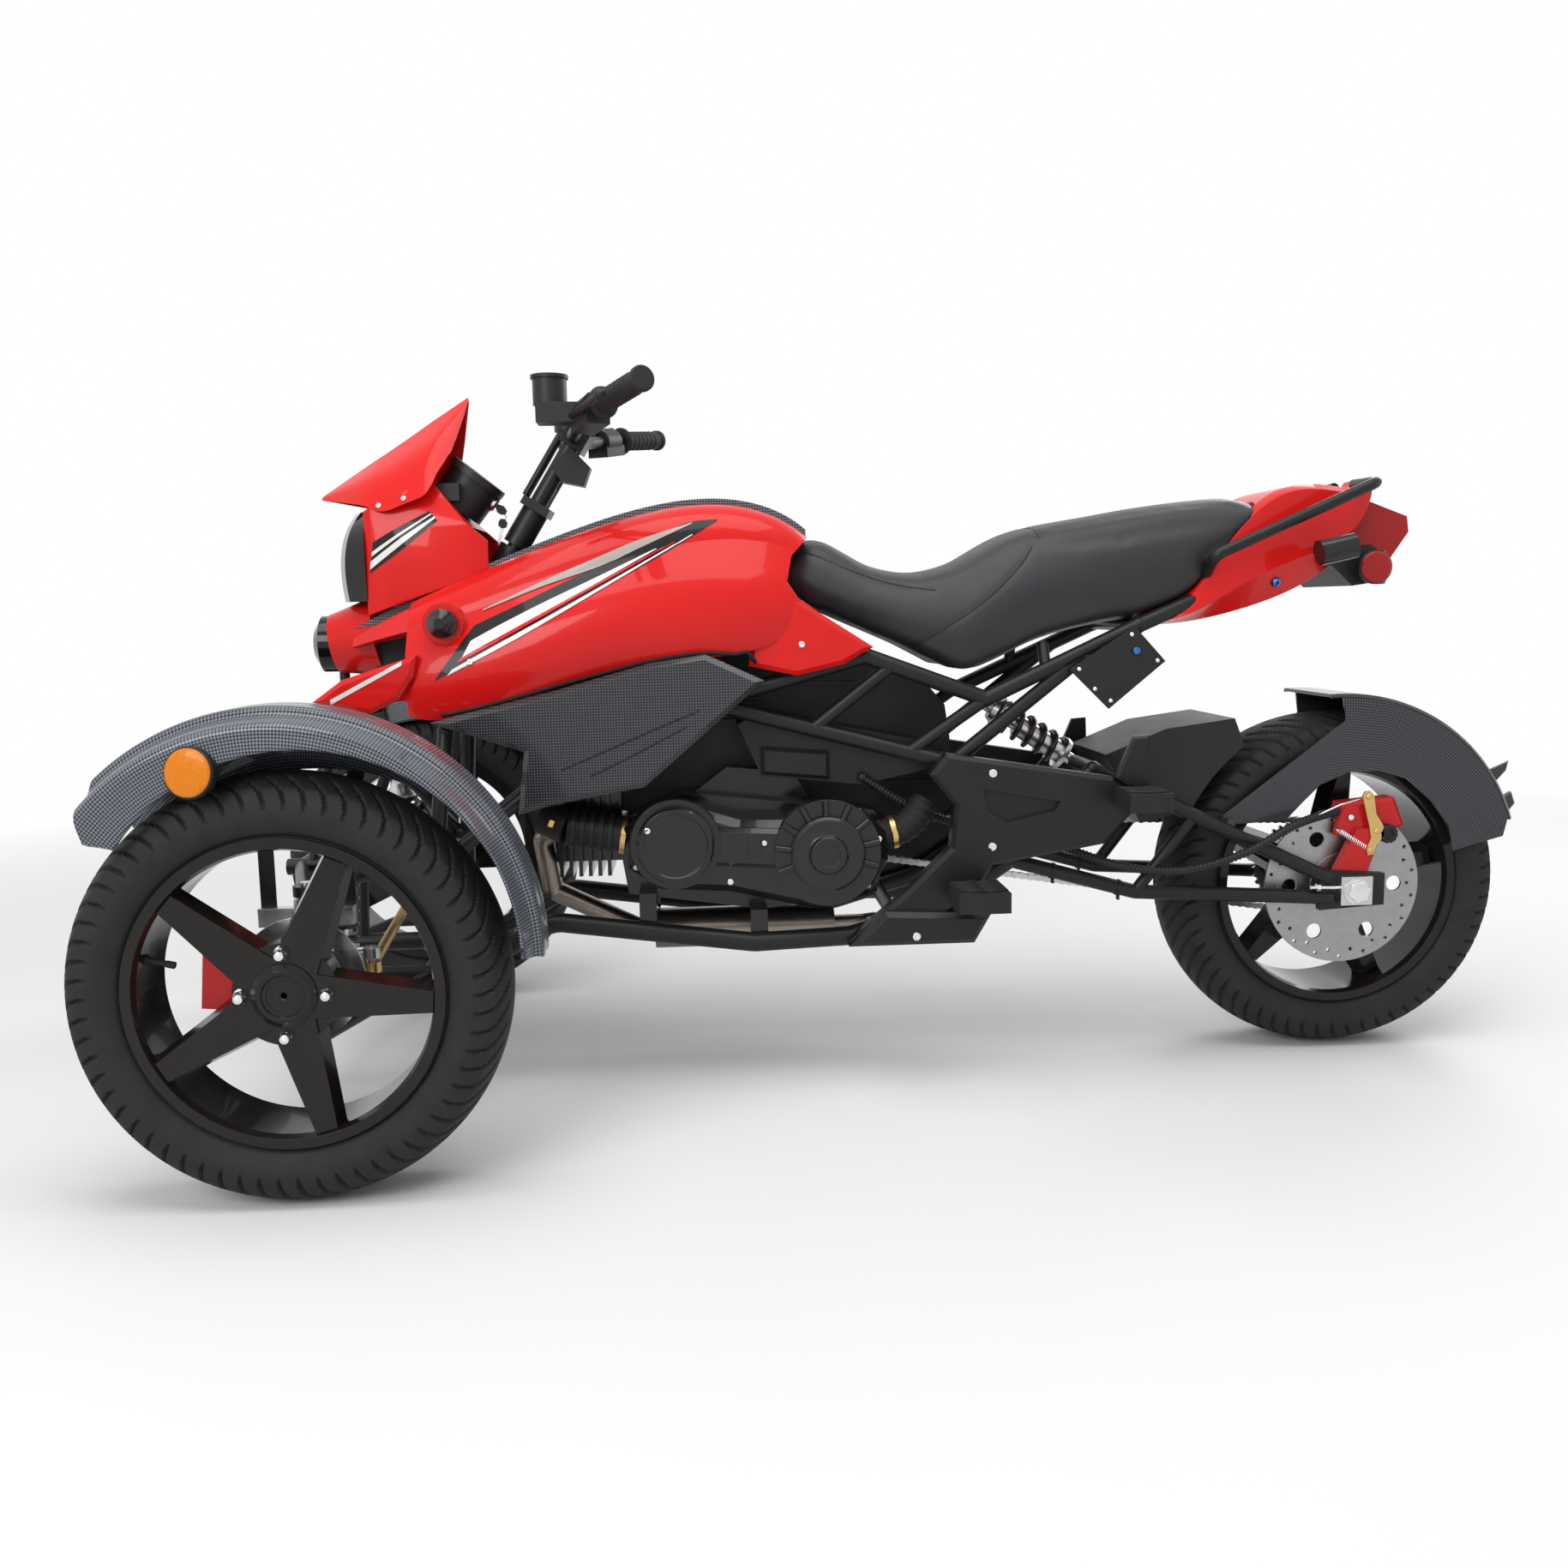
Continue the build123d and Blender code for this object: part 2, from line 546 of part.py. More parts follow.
def cowl_shape(wall):
    view = plate([
        (LENS_AFT + wall, 1018 - wall), (48, 1030 - wall), (138, 1078 - 1.4 * wall), (200 - wall, 1000),
        (238 - wall, 966), (238, 916 + wall), (170, 890 + wall), (LENS_AFT + wall, 842 + wall),
    ], -140, 140)
    sides = bowed((at(LENS_AFT, 86 - wall, 700), at(240, 92 - wall, 700)), at(130, 110 - wall, 700))
    arch = bowed((at(-20, 58 - wall, 1090), at(-20, 86 - wall, 820)), at(-20, 109 - wall, 940))
    view &= extrude(sides, amount=500, dir=(0, 0, 1))
    return view & extrude(arch, amount=320, dir=(-1, 0, 0))


cowl_block = cowl_shape(0.0)
cowl = cowl_block - [cowl_shape(7.0), plate([(196, 990), (300, 990), (300, 880), (176, 900)], -90, 90)]
chin = cone((-52, 0, LAMP_Z), (30, 0, LAMP_Z + 12), LAMP_R + 2, LAMP_R + 22)
chin += plate([(0, 850), (40, 842), (60, 852), (60, 868), (LENS_AFT, 862)], -40, 40) - cowl_block
chin -= [bar((-90, 0, LAMP_Z), (-20, 0, LAMP_Z), LAMP_R), strip, nodes["body_sides"], frame_front]
nodes["nose_cowl"] = cowl - [frame_spine, nodes["body_sides"]] + (chin - cowl_block)
nodes["tank_top"] = strip - [cowl_block, nodes["body_sides"]]

# Headlamp lens and lower lamp
LENS = (
    # half width, bulge back, z
    (88, 0, 866), (92, -4, 930), (88, 6, 985), (74, 24, 1020),
)
lens = skin([[(LENS_AFT, -w, z), (back - 8, 26 - w, z), (back - 25, 66 - w, z), (back - 25, w - 66, z),
              (back - 8, w - 26, z), (LENS_AFT, w, z)] for w, back, z in LENS])
low_lamp = bar((-72, 0, LAMP_Z), (-20, 0, LAMP_Z), LAMP_R - 0.3)
low_lamp += cone((-72, 0, LAMP_Z), (-84, 0, LAMP_Z), LAMP_R - 0.3, 30)
lens -= [cowl_block, chin]
low_lamp -= frame_front
nodes["headlamps"] = Part() + [lens, low_lamp]

# Visor: a ridged peak, lofted through thin sections from its tip to its top, and the bosses that hold it
VISOR = (
    # aft, half width, edge z, ridge z
    (-60, 6, 1045, 1051), (20, 78, 1031, 1103), (63, 104, 1017, 1130), (106, 110, 1030, 1158),
    (142, 112, 1046, 1182), (158, 92, 1082, 1192), (178, 62, 1122, 1205), (202, 8, 1211, 1220),
)
VISOR_T = 5.0


def visor_row(aft, w, low, high):
    rise = high - low
    t = min(VISOR_T, 0.3 * w, 0.3 * rise)
    outer = [(w, low), (0.62 * w, low + 0.56 * rise), (0, high)]
    inner = [(w - t, low), (0.62 * w - t, low + 0.56 * rise - 0.7 * t), (0, high - 1.4 * t)]
    half = [(aft, y, z) for y, z in outer[:-1]]
    under = [(aft, y, z) for y, z in inner[:-1]]
    ring = half + [(aft, 0, high)] + [(a, -y, z) for a, y, z in reversed(half)]
    return ring + [(a, -y, z) for a, y, z in under] + [(aft, 0, inner[-1][1])] + list(reversed(under))


visor = loft([face_of([at(*p) for p in visor_row(*row)]) for row in VISOR], ruled=True)
visor += pair(drum(58, 1030, 6, 60, 92)) + pair(drum(104, 1046, 6, 60, 100))
visor -= [cowl_block, lens]
nodes["visor"] = visor

# Dash pod behind the visor
dash_way = Vector(-0.62, 0, 0.78)
dash = Solid.make_cylinder(50, 70, Plane(origin=at(172, 0, 1030), z_dir=dash_way))
dash += Solid.make_cylinder(54, 14, Plane(origin=at(172, 0, 1030) + dash_way * 58, z_dir=dash_way))
dash += box(120, 190, -70, 70, 1036, 1066)
dash -= [cowl_block, visor]
nodes["dash"] = dash

# Carbon panels under the body sides
panel = bevelled([(149, 664), (301, 612), (288, 506), (339, 522), (499, 548), (704, 722),
                  (606, 768), (519, 757), (359, 714), (200, 677)], 196, 232, 9)
panel += plate([(300, 612), (288, 506), (499, 548), (600, 640)], 150, 196)
panel -= body_side
nodes["side_panels"] = pair(panel)

# Seat and tail
SEAT = (
    # aft, bottom half width, side half width, top half width, bottom z, side z, top z
    (744, 92, 104, 78, 880, 906, 926), (766, 96, 112, 80, 862, 898, 947),
    (790, 100, 122, 84, 845, 888, 957), (820, 104, 126, 88, 834, 876, 954),
    (860, 110, 132, 94, 816, 860, 930), (904, 116, 140, 100, 797, 846, 906),
    (964, 126, 150, 108, 770, 822, 894), (1010, 130, 156, 112, 745, 808, 897),
    (1058, 132, 160, 116, 722, 800, 911), (1100, 134, 160, 118, 738, 830, 934),
    (1145, 136, 160, 120, 757, 856, 957), (1200, 136, 158, 122, 782, 874, 972),
    (1300, 136, 156, 122, 805, 894, 988), (1380, 132, 150, 118, 818, 908, 1001),
    (1460, 124, 140, 112, 852, 928, 1011), (1530, 114, 130, 104, 912, 960, 1018),
    (1596, 104, 118, 96, 978, 998, 1019),
)
seat_rows = [
    [(aft, -wb, zb), (aft, wb, zb), (aft, ws, zs), (aft, wt, zt - 10), (aft, wt * 0.4, zt),
     (aft, -wt * 0.4, zt), (aft, -wt, zt - 10), (aft, -ws, zs)]
    for aft, wb, ws, wt, zb, zs, zt in SEAT
]
seat = loft([face_of([at(*p) for p in row]) for row in seat_rows], ruled=True)
TAIL = (
    # aft, half width, bottom z, top z
    (1385, 138, 800, 822), (1480, 138, 806, 880), (1600, 126, 834, 1018), (1720, 100, 886, 1042),
    (1818, 62, 1026, 1056),
)
tail = skin([
    [(aft, -0.7 * w, zb), (aft, 0.7 * w, zb), (aft, w, zb + 0.3 * (zt - zb)), (aft, 0.94 * w, zt - 10),
     (aft, 0.8 * w, zt), (aft, -0.8 * w, zt), (aft, -0.94 * w, zt - 10), (aft, -w, zb + 0.3 * (zt - zb))]
    for aft, w, zb, zt in TAIL
])
seat -= [trellis, nodes["body_sides"], nodes["tank_top"]]
tail -= [trellis, seat]
nodes["seat"] = seat
nodes["tail_cowl"] = tail

grab = tube(((1490, 120, 885), (1490, 168, 918), (1785, 150, 1041), (1795, 40, 1045)), 10, 20)
nodes["grab_rails"] = pair(grab) - [tail, seat]

tail_lamp = plate([(1800, 1020), (1846, 1002), (1888, 986), (1892, 958), (1860, 912), (1770, 950)], -55, 55)
tail_lamp -= tail
bracket = plate([(1728, 900), (1800, 935), (1834, 908), (1812, 868), (1768, 862)], -100, 100)
bracket += pair(bar((1812, 100, 894), (1822, 108, 894), 30))
bracket -= [tail, tail_lamp]
nodes["tail_lamp"] = tail_lamp
nodes["tail_bracket"] = bracket

# Signal lamps, front and rear
lamp_mid = (SIGNAL_AFT, SIGNAL_Y + 16, SIGNAL_Z)
front_signal = bar((SIGNAL_AFT, SIGNAL_Y, SIGNAL_Z), lamp_mid, 24)
front_signal += cone(lamp_mid, (SIGNAL_AFT, SIGNAL_Y + 34, SIGNAL_Z), 24, 9)
rear_signal = bar((1700, 80, 925), (1700, 200, 925), 9) + bar((1664, 190, 918), (1726, 190, 930), 22)
nodes["signals"] = pair(front_signal) + pair(rear_signal - tail)

# Blank plate on the left
id_plate = plate([(1235, 727), (1349, 799), (1404, 738), (1305, 657)], 168, 172)
id_plate += [drum(1270, 745, 6, 146, 168), drum(1300, 760, 6, 142, 168)]
nodes["id_plate"] = id_plate - trellis

# Foot brackets and pegs
foot = bevelled([
    (986, 552), (1016, 588), (1308, 540), (1369, 506), (1294, 423), (1098, 391), (1060, 330), (992, 296),
    (870, 262), (842, 262), (947, 351), (1023, 424), (1030, 498),
], 164, 198, 7)
foot -= plate([(1078, 526), (1214, 500), (1204, 484), (1122, 466), (1088, 486)], 188, 210)
foot += bevelled([(842, 258), (906, 318), (1091, 309), (1061, 258)], 180, 216, 9)
foot += bevelled([(1310, 540), (1340, 610), (1368, 612), (1372, 500)], 190, 204, 4)
nodes["foot_brackets"] = pair(foot) - [trellis, frame_rails]
pegs = bar((1055, 190, 352), (1055, 225, 352), 16) + box(1012, 1098, 225, 330, 336, 370)
pegs += bar((1342, 190, 508), (1342, 214, 508), 14) + box(1304, 1378, 214, 302, 492, 524)
nodes["footpegs"] = pair(pegs - foot)

# Suspension arms and front shocks
ARMS = (
    # rise of the outer end from the axle, inner half spread, inner y, inner z
    (TOP_PIN, 90.0, HIGH_Y, HIGH_Z),
    (LOW_PIN, 110.0, LOW_Y, LOW_Z),
)
EYE_T = 16.0
SHOCK_Y = 320.0
arm_side = Part()
for rise, spread, inner_y, inner_z in ARMS:
    z = FRONT_TYRE_R + rise
    arm = Part() + [
        post(FRONT_AXLE_X, KINGPIN_Y, 20, z - EYE_T / 2, z + EYE_T / 2),
        bar((-8, KINGPIN_Y - 14, z), (-spread, inner_y, inner_z), ARM_R),
        bar((8, KINGPIN_Y - 14, z), (spread, inner_y, inner_z), ARM_R),
    ]
    arm_side += arm - post(FRONT_AXLE_X, KINGPIN_Y, KINGPIN_R + SHAFT_PLAY, z - 30, z + 30)
arm_side += bar((-56, SHOCK_Y, LOW_Z - 5), (56, SHOCK_Y, LOW_Z - 5), 9)
arms = pair(arm_side) - frame_front
nodes["suspension_arms"] = arms
shock_low = (0, SHOCK_Y, LOW_Z - 5)
shock_high = (0, 222, TOWER_Z)


def on_shock(share):
    return tuple(low + share * (high - low) for low, high in zip(shock_low, shock_high))


shock = Part() + [bar(shock_low, shock_high, 11), bar(on_shock(0.3), on_shock(0.9), 20)]
shock += [bar(on_shock(0.29 + i * 0.06), on_shock(0.318 + i * 0.06), 31) for i in range(9)]
nodes["front_shocks"] = pair(shock) - [arms, frame_front]

# Steering rack behind the front axle
rack = drum(-ARM_BACK, RACK_Z, 22, -45, 45) + bar((-ARM_BACK, 0, RACK_Z), (102, 0, HIGH_Z - 6), 13)
nodes["steering_rack"] = rack - frame_front

# Handlebar on its stem, grips and controls
clamp_mid = on_stem(222)
bar_aft = FRONT_AXLE_X - clamp_mid.X
BAR_BEND = (425, 200, 1165)
BAR_END = (518, 378, 1187)
bar_side = tube(((bar_aft, 24, clamp_mid.Z), (bar_aft, 64, clamp_mid.Z), BAR_BEND, BAR_END), BAR_R, 30)
handlebar = pair(bar_side) + [
    Solid.make_cylinder(STEM_R, 262, Plane(origin=on_stem(-HEAD_LENGTH - 22), z_dir=stem_up)),
    Solid.make_cylinder(17, 16, Plane(origin=on_stem(-HEAD_LENGTH - 22), z_dir=stem_up)),
    Solid.make_cylinder(24, 70, Plane(origin=on_stem(6), z_dir=stem_up)),
    pair(Solid.make_cylinder(15, 150, Plane(origin=on_stem(80) + Vector(0, 22, 0), z_dir=stem_up))),
    Plane(origin=on_stem(84), z_dir=stem_up) * Box(52, 84, 16),
    Plane(origin=on_stem(222), z_dir=stem_up) * Box(44, 76, 34),
]
nodes["handlebar"] = handlebar


def on_bar(share):
    return [a + share * (b - a) for a, b in zip(BAR_BEND, BAR_END)]


grip = bar(on_bar(0.3), on_bar(1.035), GRIP_R) - bar(on_bar(0.2), on_bar(1.0), BAR_R)
nodes["grips"] = pair(grip - handlebar)

perch_top = 1182.0
control = Part() + [
    bar((416, 182, 1161), (438, 226, 1168), 24), box(340, 410, 150, 200, 1150, perch_top),
    bar((362, 172, 1180), (362, 172, 1222), 28), bar((362, 172, 1222), (362, 172, 1228), 31),
    bar((398, 196, 1160), (455, 350, 1170), 6), Pos(*at(455, 350, 1170)) * Sphere(9),
]
thread = post(FRONT_AXLE_X - 398, 192, MIRROR_THREAD_R, perch_top - MIRROR_THREAD_DEPTH, perch_top + 10)
nodes["controls"] = pair(control - thread) - handlebar

# Swingarm, rear axle, rear shock
KNEE_AFT = PIVOT_AFT + 240
KNEE_Z = PIVOT_Z - 68
CROWN_AFT = PIVOT_AFT + 160
CROWN_Z = PIVOT_Z + 158
fork_low = rear(-40, -15)
fork_high = rear(-40, 19)
swing_side = lattice((
    ((KNEE_AFT, SWING_Y, KNEE_Z), (PIVOT_AFT, SWING_Y, PIVOT_Z), SWING_R),
    ((KNEE_AFT, SWING_Y, KNEE_Z), (fork_low[0], SWING_Y, fork_low[1]), SWING_R),
    ((fork_high[0], SWING_Y, fork_high[1]), (CROWN_AFT, SWING_Y, CROWN_Z), SWING_R),
    ((PIVOT_AFT, SWING_Y, PIVOT_Z), (CROWN_AFT, SWING_Y, CROWN_Z), SWING_R - 1),
    ((KNEE_AFT + 100, SWING_Y, KNEE_Z + 128), (KNEE_AFT, SWING_Y, KNEE_Z), SWING_R - 2),
))
swing_side += plate([rear(-60, -37), rear(60, -30), rear(60, 28), rear(-60, 37)], SWING_Y - 8, SWING_Y + 8)
swing = pair(swing_side) + [
    drum(PIVOT_AFT, PIVOT_Z, 17, -SWING_Y, SWING_Y), drum(CROWN_AFT, CROWN_Z, 12, -SWING_Y, SWING_Y),
]
swing -= [drum(WHEELBASE, REAR_TYRE_R, AXLE_R, -200, 200), frame_rails, trellis]
nodes["swingarm"] = swing
lug = SWING_Y + 8
axle = drum(WHEELBASE, REAR_TYRE_R, AXLE_R, -lug - 14, lug + 14)
axle += pair(box(WHEELBASE - 28, WHEELBASE + 30, lug, lug + 16, REAR_TYRE_R - 26, REAR_TYRE_R + 26))
axle += pair(drum(WHEELBASE, REAR_TYRE_R, 18, lug + 16, lug + 30))
nodes["rear_axle"] = axle
shock_foot = (CROWN_AFT, 0, CROWN_Z)
shock_head = (1093, 0, 678)


def on_rear_shock(share):
    return tuple(low + share * (high - low) for low, high in zip(shock_foot, shock_head))


rear_shock = Part() + [bar(shock_foot, shock_head, 11), bar(on_rear_shock(0.12), on_rear_shock(0.72), 20)]
rear_shock += [bar(on_rear_shock(0.12 + i * 0.11), on_rear_shock(0.16 + i * 0.11), 31) for i in range(6)]
nodes["rear_shock"] = rear_shock - [swing, trellis]

# Hugger ahead of the rear wheel
hug_out = [rear(back, up) for back, up in (
    (-451, 255), (-342, 299), (-216, 315), (-191, 249), (-221, 164), (-386, 129),
)]
hug_in = [rear(-438, 245), rear(-340, 290), rear(-222, 305), rear(-70, 305), rear(-70, 85), rear(-386, 137)]
hugger = plate(hug_out, -112, 112) - plate(hug_in, -107, 107)
hugger -= drum(WHEELBASE, REAR_TYRE_R, REAR_TYRE_R + 14, -150, 150)
strap_aft, strap_top = rear(-330, 180)
strap_share = (strap_aft - CROWN_AFT) / (fork_high[0] - CROWN_AFT)
strap_low = CROWN_Z + strap_share * (fork_high[1] - CROWN_Z)
hugger += pair(drum(strap_aft, strap_low, 9, 107, SWING_Y))
hugger += pair(box(strap_aft - 9, strap_aft + 9, 107, 112, strap_low, strap_top))
nodes["hugger"] = hugger - swing

# Carbon fender over the rear wheel, on the upper swingarm tubes
FENDER_Y = REAR_TYRE_HALF + 14
fender_r = REAR_TYRE_R + REAR_FENDER_GAP
rear_band = Pos(10, 0, 10) * arched([
    (fender_r, -FENDER_Y), (fender_r + 6, -FENDER_Y + 6), (fender_r + 6, FENDER_Y - 6), (fender_r, FENDER_Y),
    (fender_r - 2, FENDER_Y - 4), (fender_r, FENDER_Y - 8), (fender_r, -FENDER_Y + 8),
    (fender_r - 2, -FENDER_Y + 4),
], 86, 162)
fender_side = plate([rear(back, up) for back, up in (
    (-230, 137), (-236, 119), (-170, 122), (-111, 127), (-80, 159), (-49, 189), (6, 211), (60, 211),
    (111, 195), (160, 153), (197, 103), (205, 59), (300, 84), (310, 127), (285, 180), (231, 251),
    (160, 305), (78, 339), (-12, 351), (-6, 305),
)], FENDER_Y - 7, FENDER_Y - 2)
fender_side += drum(*rear(-224, 127), 8, FENDER_Y - 5, SWING_Y)
fins = (
    ((250, 190), (322, 220), (318, 202), (270, 150)),
    ((280, 130), (330, 162), (338, 140), (300, 92)),
)
tail_fin = [pair(bevelled([rear(*corner) for corner in fin], FENDER_Y - 40, FENDER_Y - 30, 2)) for fin in fins]
rear_fender = REAR_MID * rear_band + [pair(fender_side)] + tail_fin
rear_fender -= [swing, drum(WHEELBASE, REAR_TYRE_R, REAR_TYRE_R + 12, -FENDER_Y + 5, FENDER_Y - 5)]
nodes["rear_fender"] = rear_fender

# Rear caliper on its hanger
caliper = bevelled([rear(-24, 96), rear(-14, 156), rear(84, 164), rear(104, 112), rear(50, 90)], 78, 118, 6)
caliper -= REAR_MID * disc(REAR_DISC_R + 3, HUB_LEFT - 5, HUB_LEFT + 11)
hanger = plate([rear(-30, 28), rear(30, 28), rear(60, 110), rear(10, 110)], 108, SWING_Y)
nodes["rear_caliper"] = caliper + hanger - [swing, rear_fender]

# Park brake cable in its sleeve, from the air box along the swingarm to the rear caliper
CABLE_R = 7.0
CABLE = (
    (880, 121, 541), (960, 114, 490), (1060, 100, 448), (1160, 100, 428), (1250, 120, 402),
    (1340, 154, 374), (1450, 157, 364), (1560, 156, 392), (1660, 146, 440), (1752, 108, 456),
)
cable = tube(CABLE, CABLE_R, 110) + drum(880, 541, 9, 112, 124)
nodes["brake_cable"] = cable - [airbox, nodes["rear_caliper"]]

for name, shape in nodes.items():
    export_step(shape, "parts/" + name + ".step")
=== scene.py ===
import json
import math

import bmesh
import bpy
from mathutils import Matrix, Vector
from mathutils.bvhtree import BVHTree
from mathutils.kdtree import KDTree


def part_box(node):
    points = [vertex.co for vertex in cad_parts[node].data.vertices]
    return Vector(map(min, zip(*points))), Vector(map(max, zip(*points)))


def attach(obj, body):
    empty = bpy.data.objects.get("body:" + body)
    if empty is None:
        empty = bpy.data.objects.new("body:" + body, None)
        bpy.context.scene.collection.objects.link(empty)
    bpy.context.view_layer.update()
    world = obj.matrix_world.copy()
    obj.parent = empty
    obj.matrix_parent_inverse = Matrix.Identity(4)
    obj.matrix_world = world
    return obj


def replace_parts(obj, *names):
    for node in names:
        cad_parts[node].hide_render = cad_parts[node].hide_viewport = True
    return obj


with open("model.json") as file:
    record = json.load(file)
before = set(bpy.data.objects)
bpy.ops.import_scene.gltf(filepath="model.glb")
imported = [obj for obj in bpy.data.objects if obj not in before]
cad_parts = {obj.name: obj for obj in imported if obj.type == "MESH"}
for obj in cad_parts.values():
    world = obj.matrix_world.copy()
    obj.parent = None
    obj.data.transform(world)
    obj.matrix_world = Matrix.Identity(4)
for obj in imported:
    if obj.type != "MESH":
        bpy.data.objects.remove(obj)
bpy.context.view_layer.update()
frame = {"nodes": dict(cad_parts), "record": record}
NODES = frame["nodes"]
MM = 0.001


def middle(node):
    low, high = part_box(node)
    return (low + high) / 2


FRONT_WHEEL = middle("tyre_front_left")
REAR_WHEEL = middle("tyre_rear")


def spot(aft, y, z):
    """A place given in mm aft of the front axle, left of the middle and up."""
    return Vector((FRONT_WHEEL.x - aft * MM, y * MM, z * MM))


# Materials
class Finish:
    """A Principled material with short ways to add nodes to it."""

    def __init__(self, name, colour, roughness, metallic=0.0, coat=0.0, shine=0.5):
        self.mat = bpy.data.materials.new(name)
        self.mat.use_nodes = True
        self.tree = self.mat.node_tree
        self.shader = self.tree.nodes["Principled BSDF"]
        self.colour = colour
        looks = {"Base Color": (*colour, 1), "Roughness": roughness, "Metallic": metallic,
                 "Coat Weight": coat, "Coat Roughness": 0.04, "Specular IOR Level": shine}
        for socket, value in looks.items():
            self.shader.inputs[socket].default_value = value
        coords = self.put("ShaderNodeTexCoord")
        self.place = coords.outputs["Object"]
        self.laid = coords.outputs["UV"]
        self.normal = None

    def put(self, kind, **values):
        node = self.tree.nodes.new(kind)
        for socket, value in values.items():
            node.inputs[socket].default_value = value
        return node

    def link(self, a, b):
        self.tree.links.new(a, b)

    def noise(self, scale, detail=3.0):
        node = self.put("ShaderNodeTexNoise", Scale=scale, Detail=detail)
        self.link(self.place, node.inputs["Vector"])
        return node.outputs["Fac"]

    def cells(self, scale):
        """Distance to the edges of small cells."""
        node = self.put("ShaderNodeTexVoronoi", Scale=scale)
        node.feature = "DISTANCE_TO_EDGE"
        self.link(self.place, node.inputs["Vector"])
        return node.outputs["Distance"]

    def span(self, value, low, high):
        node = self.put("ShaderNodeMapRange")
        node.inputs["To Min"].default_value = low
        node.inputs["To Max"].default_value = high
        self.link(value, node.inputs["Value"])
        return node.outputs["Result"]

    def mottle(self, scale, change):
        """Lets the colour drift a little over the surface."""
        light = tuple(min(1.0, c * (1 + change) + 0.02 * change) for c in self.colour)
        dark = tuple(c * (1 - change) for c in self.colour)
        self.paint(self.noise(scale), dark, light)

    def paint(self, mask, first, second):
        mix = self.put("ShaderNodeMix")
        mix.data_type = "RGBA"
        colours = [s for s in mix.inputs if s.type == "RGBA"]
        colours[0].default_value = (*first, 1)
        colours[1].default_value = (*second, 1)
        self.link(mask, mix.inputs["Factor"])
        result = [s for s in mix.outputs if s.type == "RGBA"][0]
        self.link(result, self.shader.inputs["Base Color"])

    def gloss(self, scale, low, high):
        """Smudges: the roughness varies over the surface."""
        self.link(self.span(self.noise(scale), low, high), self.shader.inputs["Roughness"])

    def round_edges(self, radius):
        node = self.put("ShaderNodeBevel", Radius=radius)
        node.samples = 4
        self.normal = node.outputs["Normal"]
        self.link(self.normal, self.shader.inputs["Normal"])
        self.link(self.normal, self.shader.inputs["Coat Normal"])

    def bump(self, height, strength, distance):
        node = self.put("ShaderNodeBump", Strength=strength, Distance=distance)
        self.link(height, node.inputs["Height"])
        if self.normal:
            self.link(self.normal, node.inputs["Normal"])
        self.normal = node.outputs["Normal"]
        self.link(self.normal, self.shader.inputs["Normal"])


def painted(name, colour, edge=0.002):
    f = Finish(name, colour, 0.32, coat=0.3, shine=0.12)
    f.mottle(9, 0.06)
    f.gloss(40, 0.26, 0.36)
    f.round_edges(edge)
    return f.mat


def coated(name, colour, rough, coat=0.0, shine=0.28):
    """Powder coat or moulded plastic: fine grain, soft smudges."""
    f = Finish(name, colour, rough, coat=coat, shine=shine)
    f.mottle(14, 0.18)
    f.gloss(25, rough - 0.06, rough + 0.08)
    f.round_edges(0.0015)
    f.bump(f.noise(900, 2), 0.12, 0.0004)
    return f.mat


def metal(name, colour, rough, grain=0.06):
    f = Finish(name, colour, rough, metallic=1.0)
    f.mottle(60, 0.12)
    f.gloss(90, rough - 0.08, rough + 0.08)
    f.round_edges(0.0008)
    f.bump(f.noise(500, 2), grain, 0.0003)
    return f.mat


WEAVE = 0.0033


def carbon_print(name, dark, light):
    """Printed weave under a clear coat: light and dark tows, cell by cell, along the piece's own uv."""
    f = Finish(name, dark, 0.3, coat=0.4, shine=0.2)
    turn = f.put("ShaderNodeMapping", Rotation=(0, 0, math.pi / 4), Location=(0, 0, WEAVE / 2))
    f.link(f.laid, turn.inputs["Vector"])
    cells = f.put("ShaderNodeTexChecker", Scale=1 / WEAVE)
    f.link(turn.outputs["Vector"], cells.inputs["Vector"])
    f.paint(cells.outputs["Fac"], dark, light)
    f.round_edges(0.002)
    f.bump(cells.outputs["Fac"], 0.15, 0.0003)
    return f.mat


def rubber(name, colour, grain):
    f = Finish(name, colour, 0.7, shine=0.3)
    f.mottle(30, 0.25)
    f.gloss(18, 0.58, 0.8)
    f.bump(f.noise(grain, 4), 0.25, 0.0006)
    return f.mat


def leather(name, colour):
    f = Finish(name, colour, 0.46, shine=0.35)
    f.mottle(7, 0.25)
    f.gloss(16, 0.38, 0.54)
    f.bump(f.cells(420), 0.3, 0.0009)
    return f.mat


def lens(name, colour, rough=0.05):
    f = Finish(name, colour, rough, coat=0.3, shine=0.2)
    ribs = f.put("ShaderNodeTexWave", Scale=60, Distortion=0.0)
    f.link(f.place, ribs.inputs["Vector"])
    f.mottle(30, 0.1)
    f.bump(ribs.outputs["Fac"], 0.05, 0.0004)
    return f.mat


def prism_lens(name, colour):
    """Reflector plastic with small corner prisms behind the face."""
    f = Finish(name, colour, 0.12, coat=0.3, shine=0.15)
    prisms = f.cells(330)
    f.paint(f.span(prisms, 0.2, 1.6), tuple(c * 0.55 for c in colour), colour)
    f.bump(prisms, 0.35, 0.001)
    return f.mat


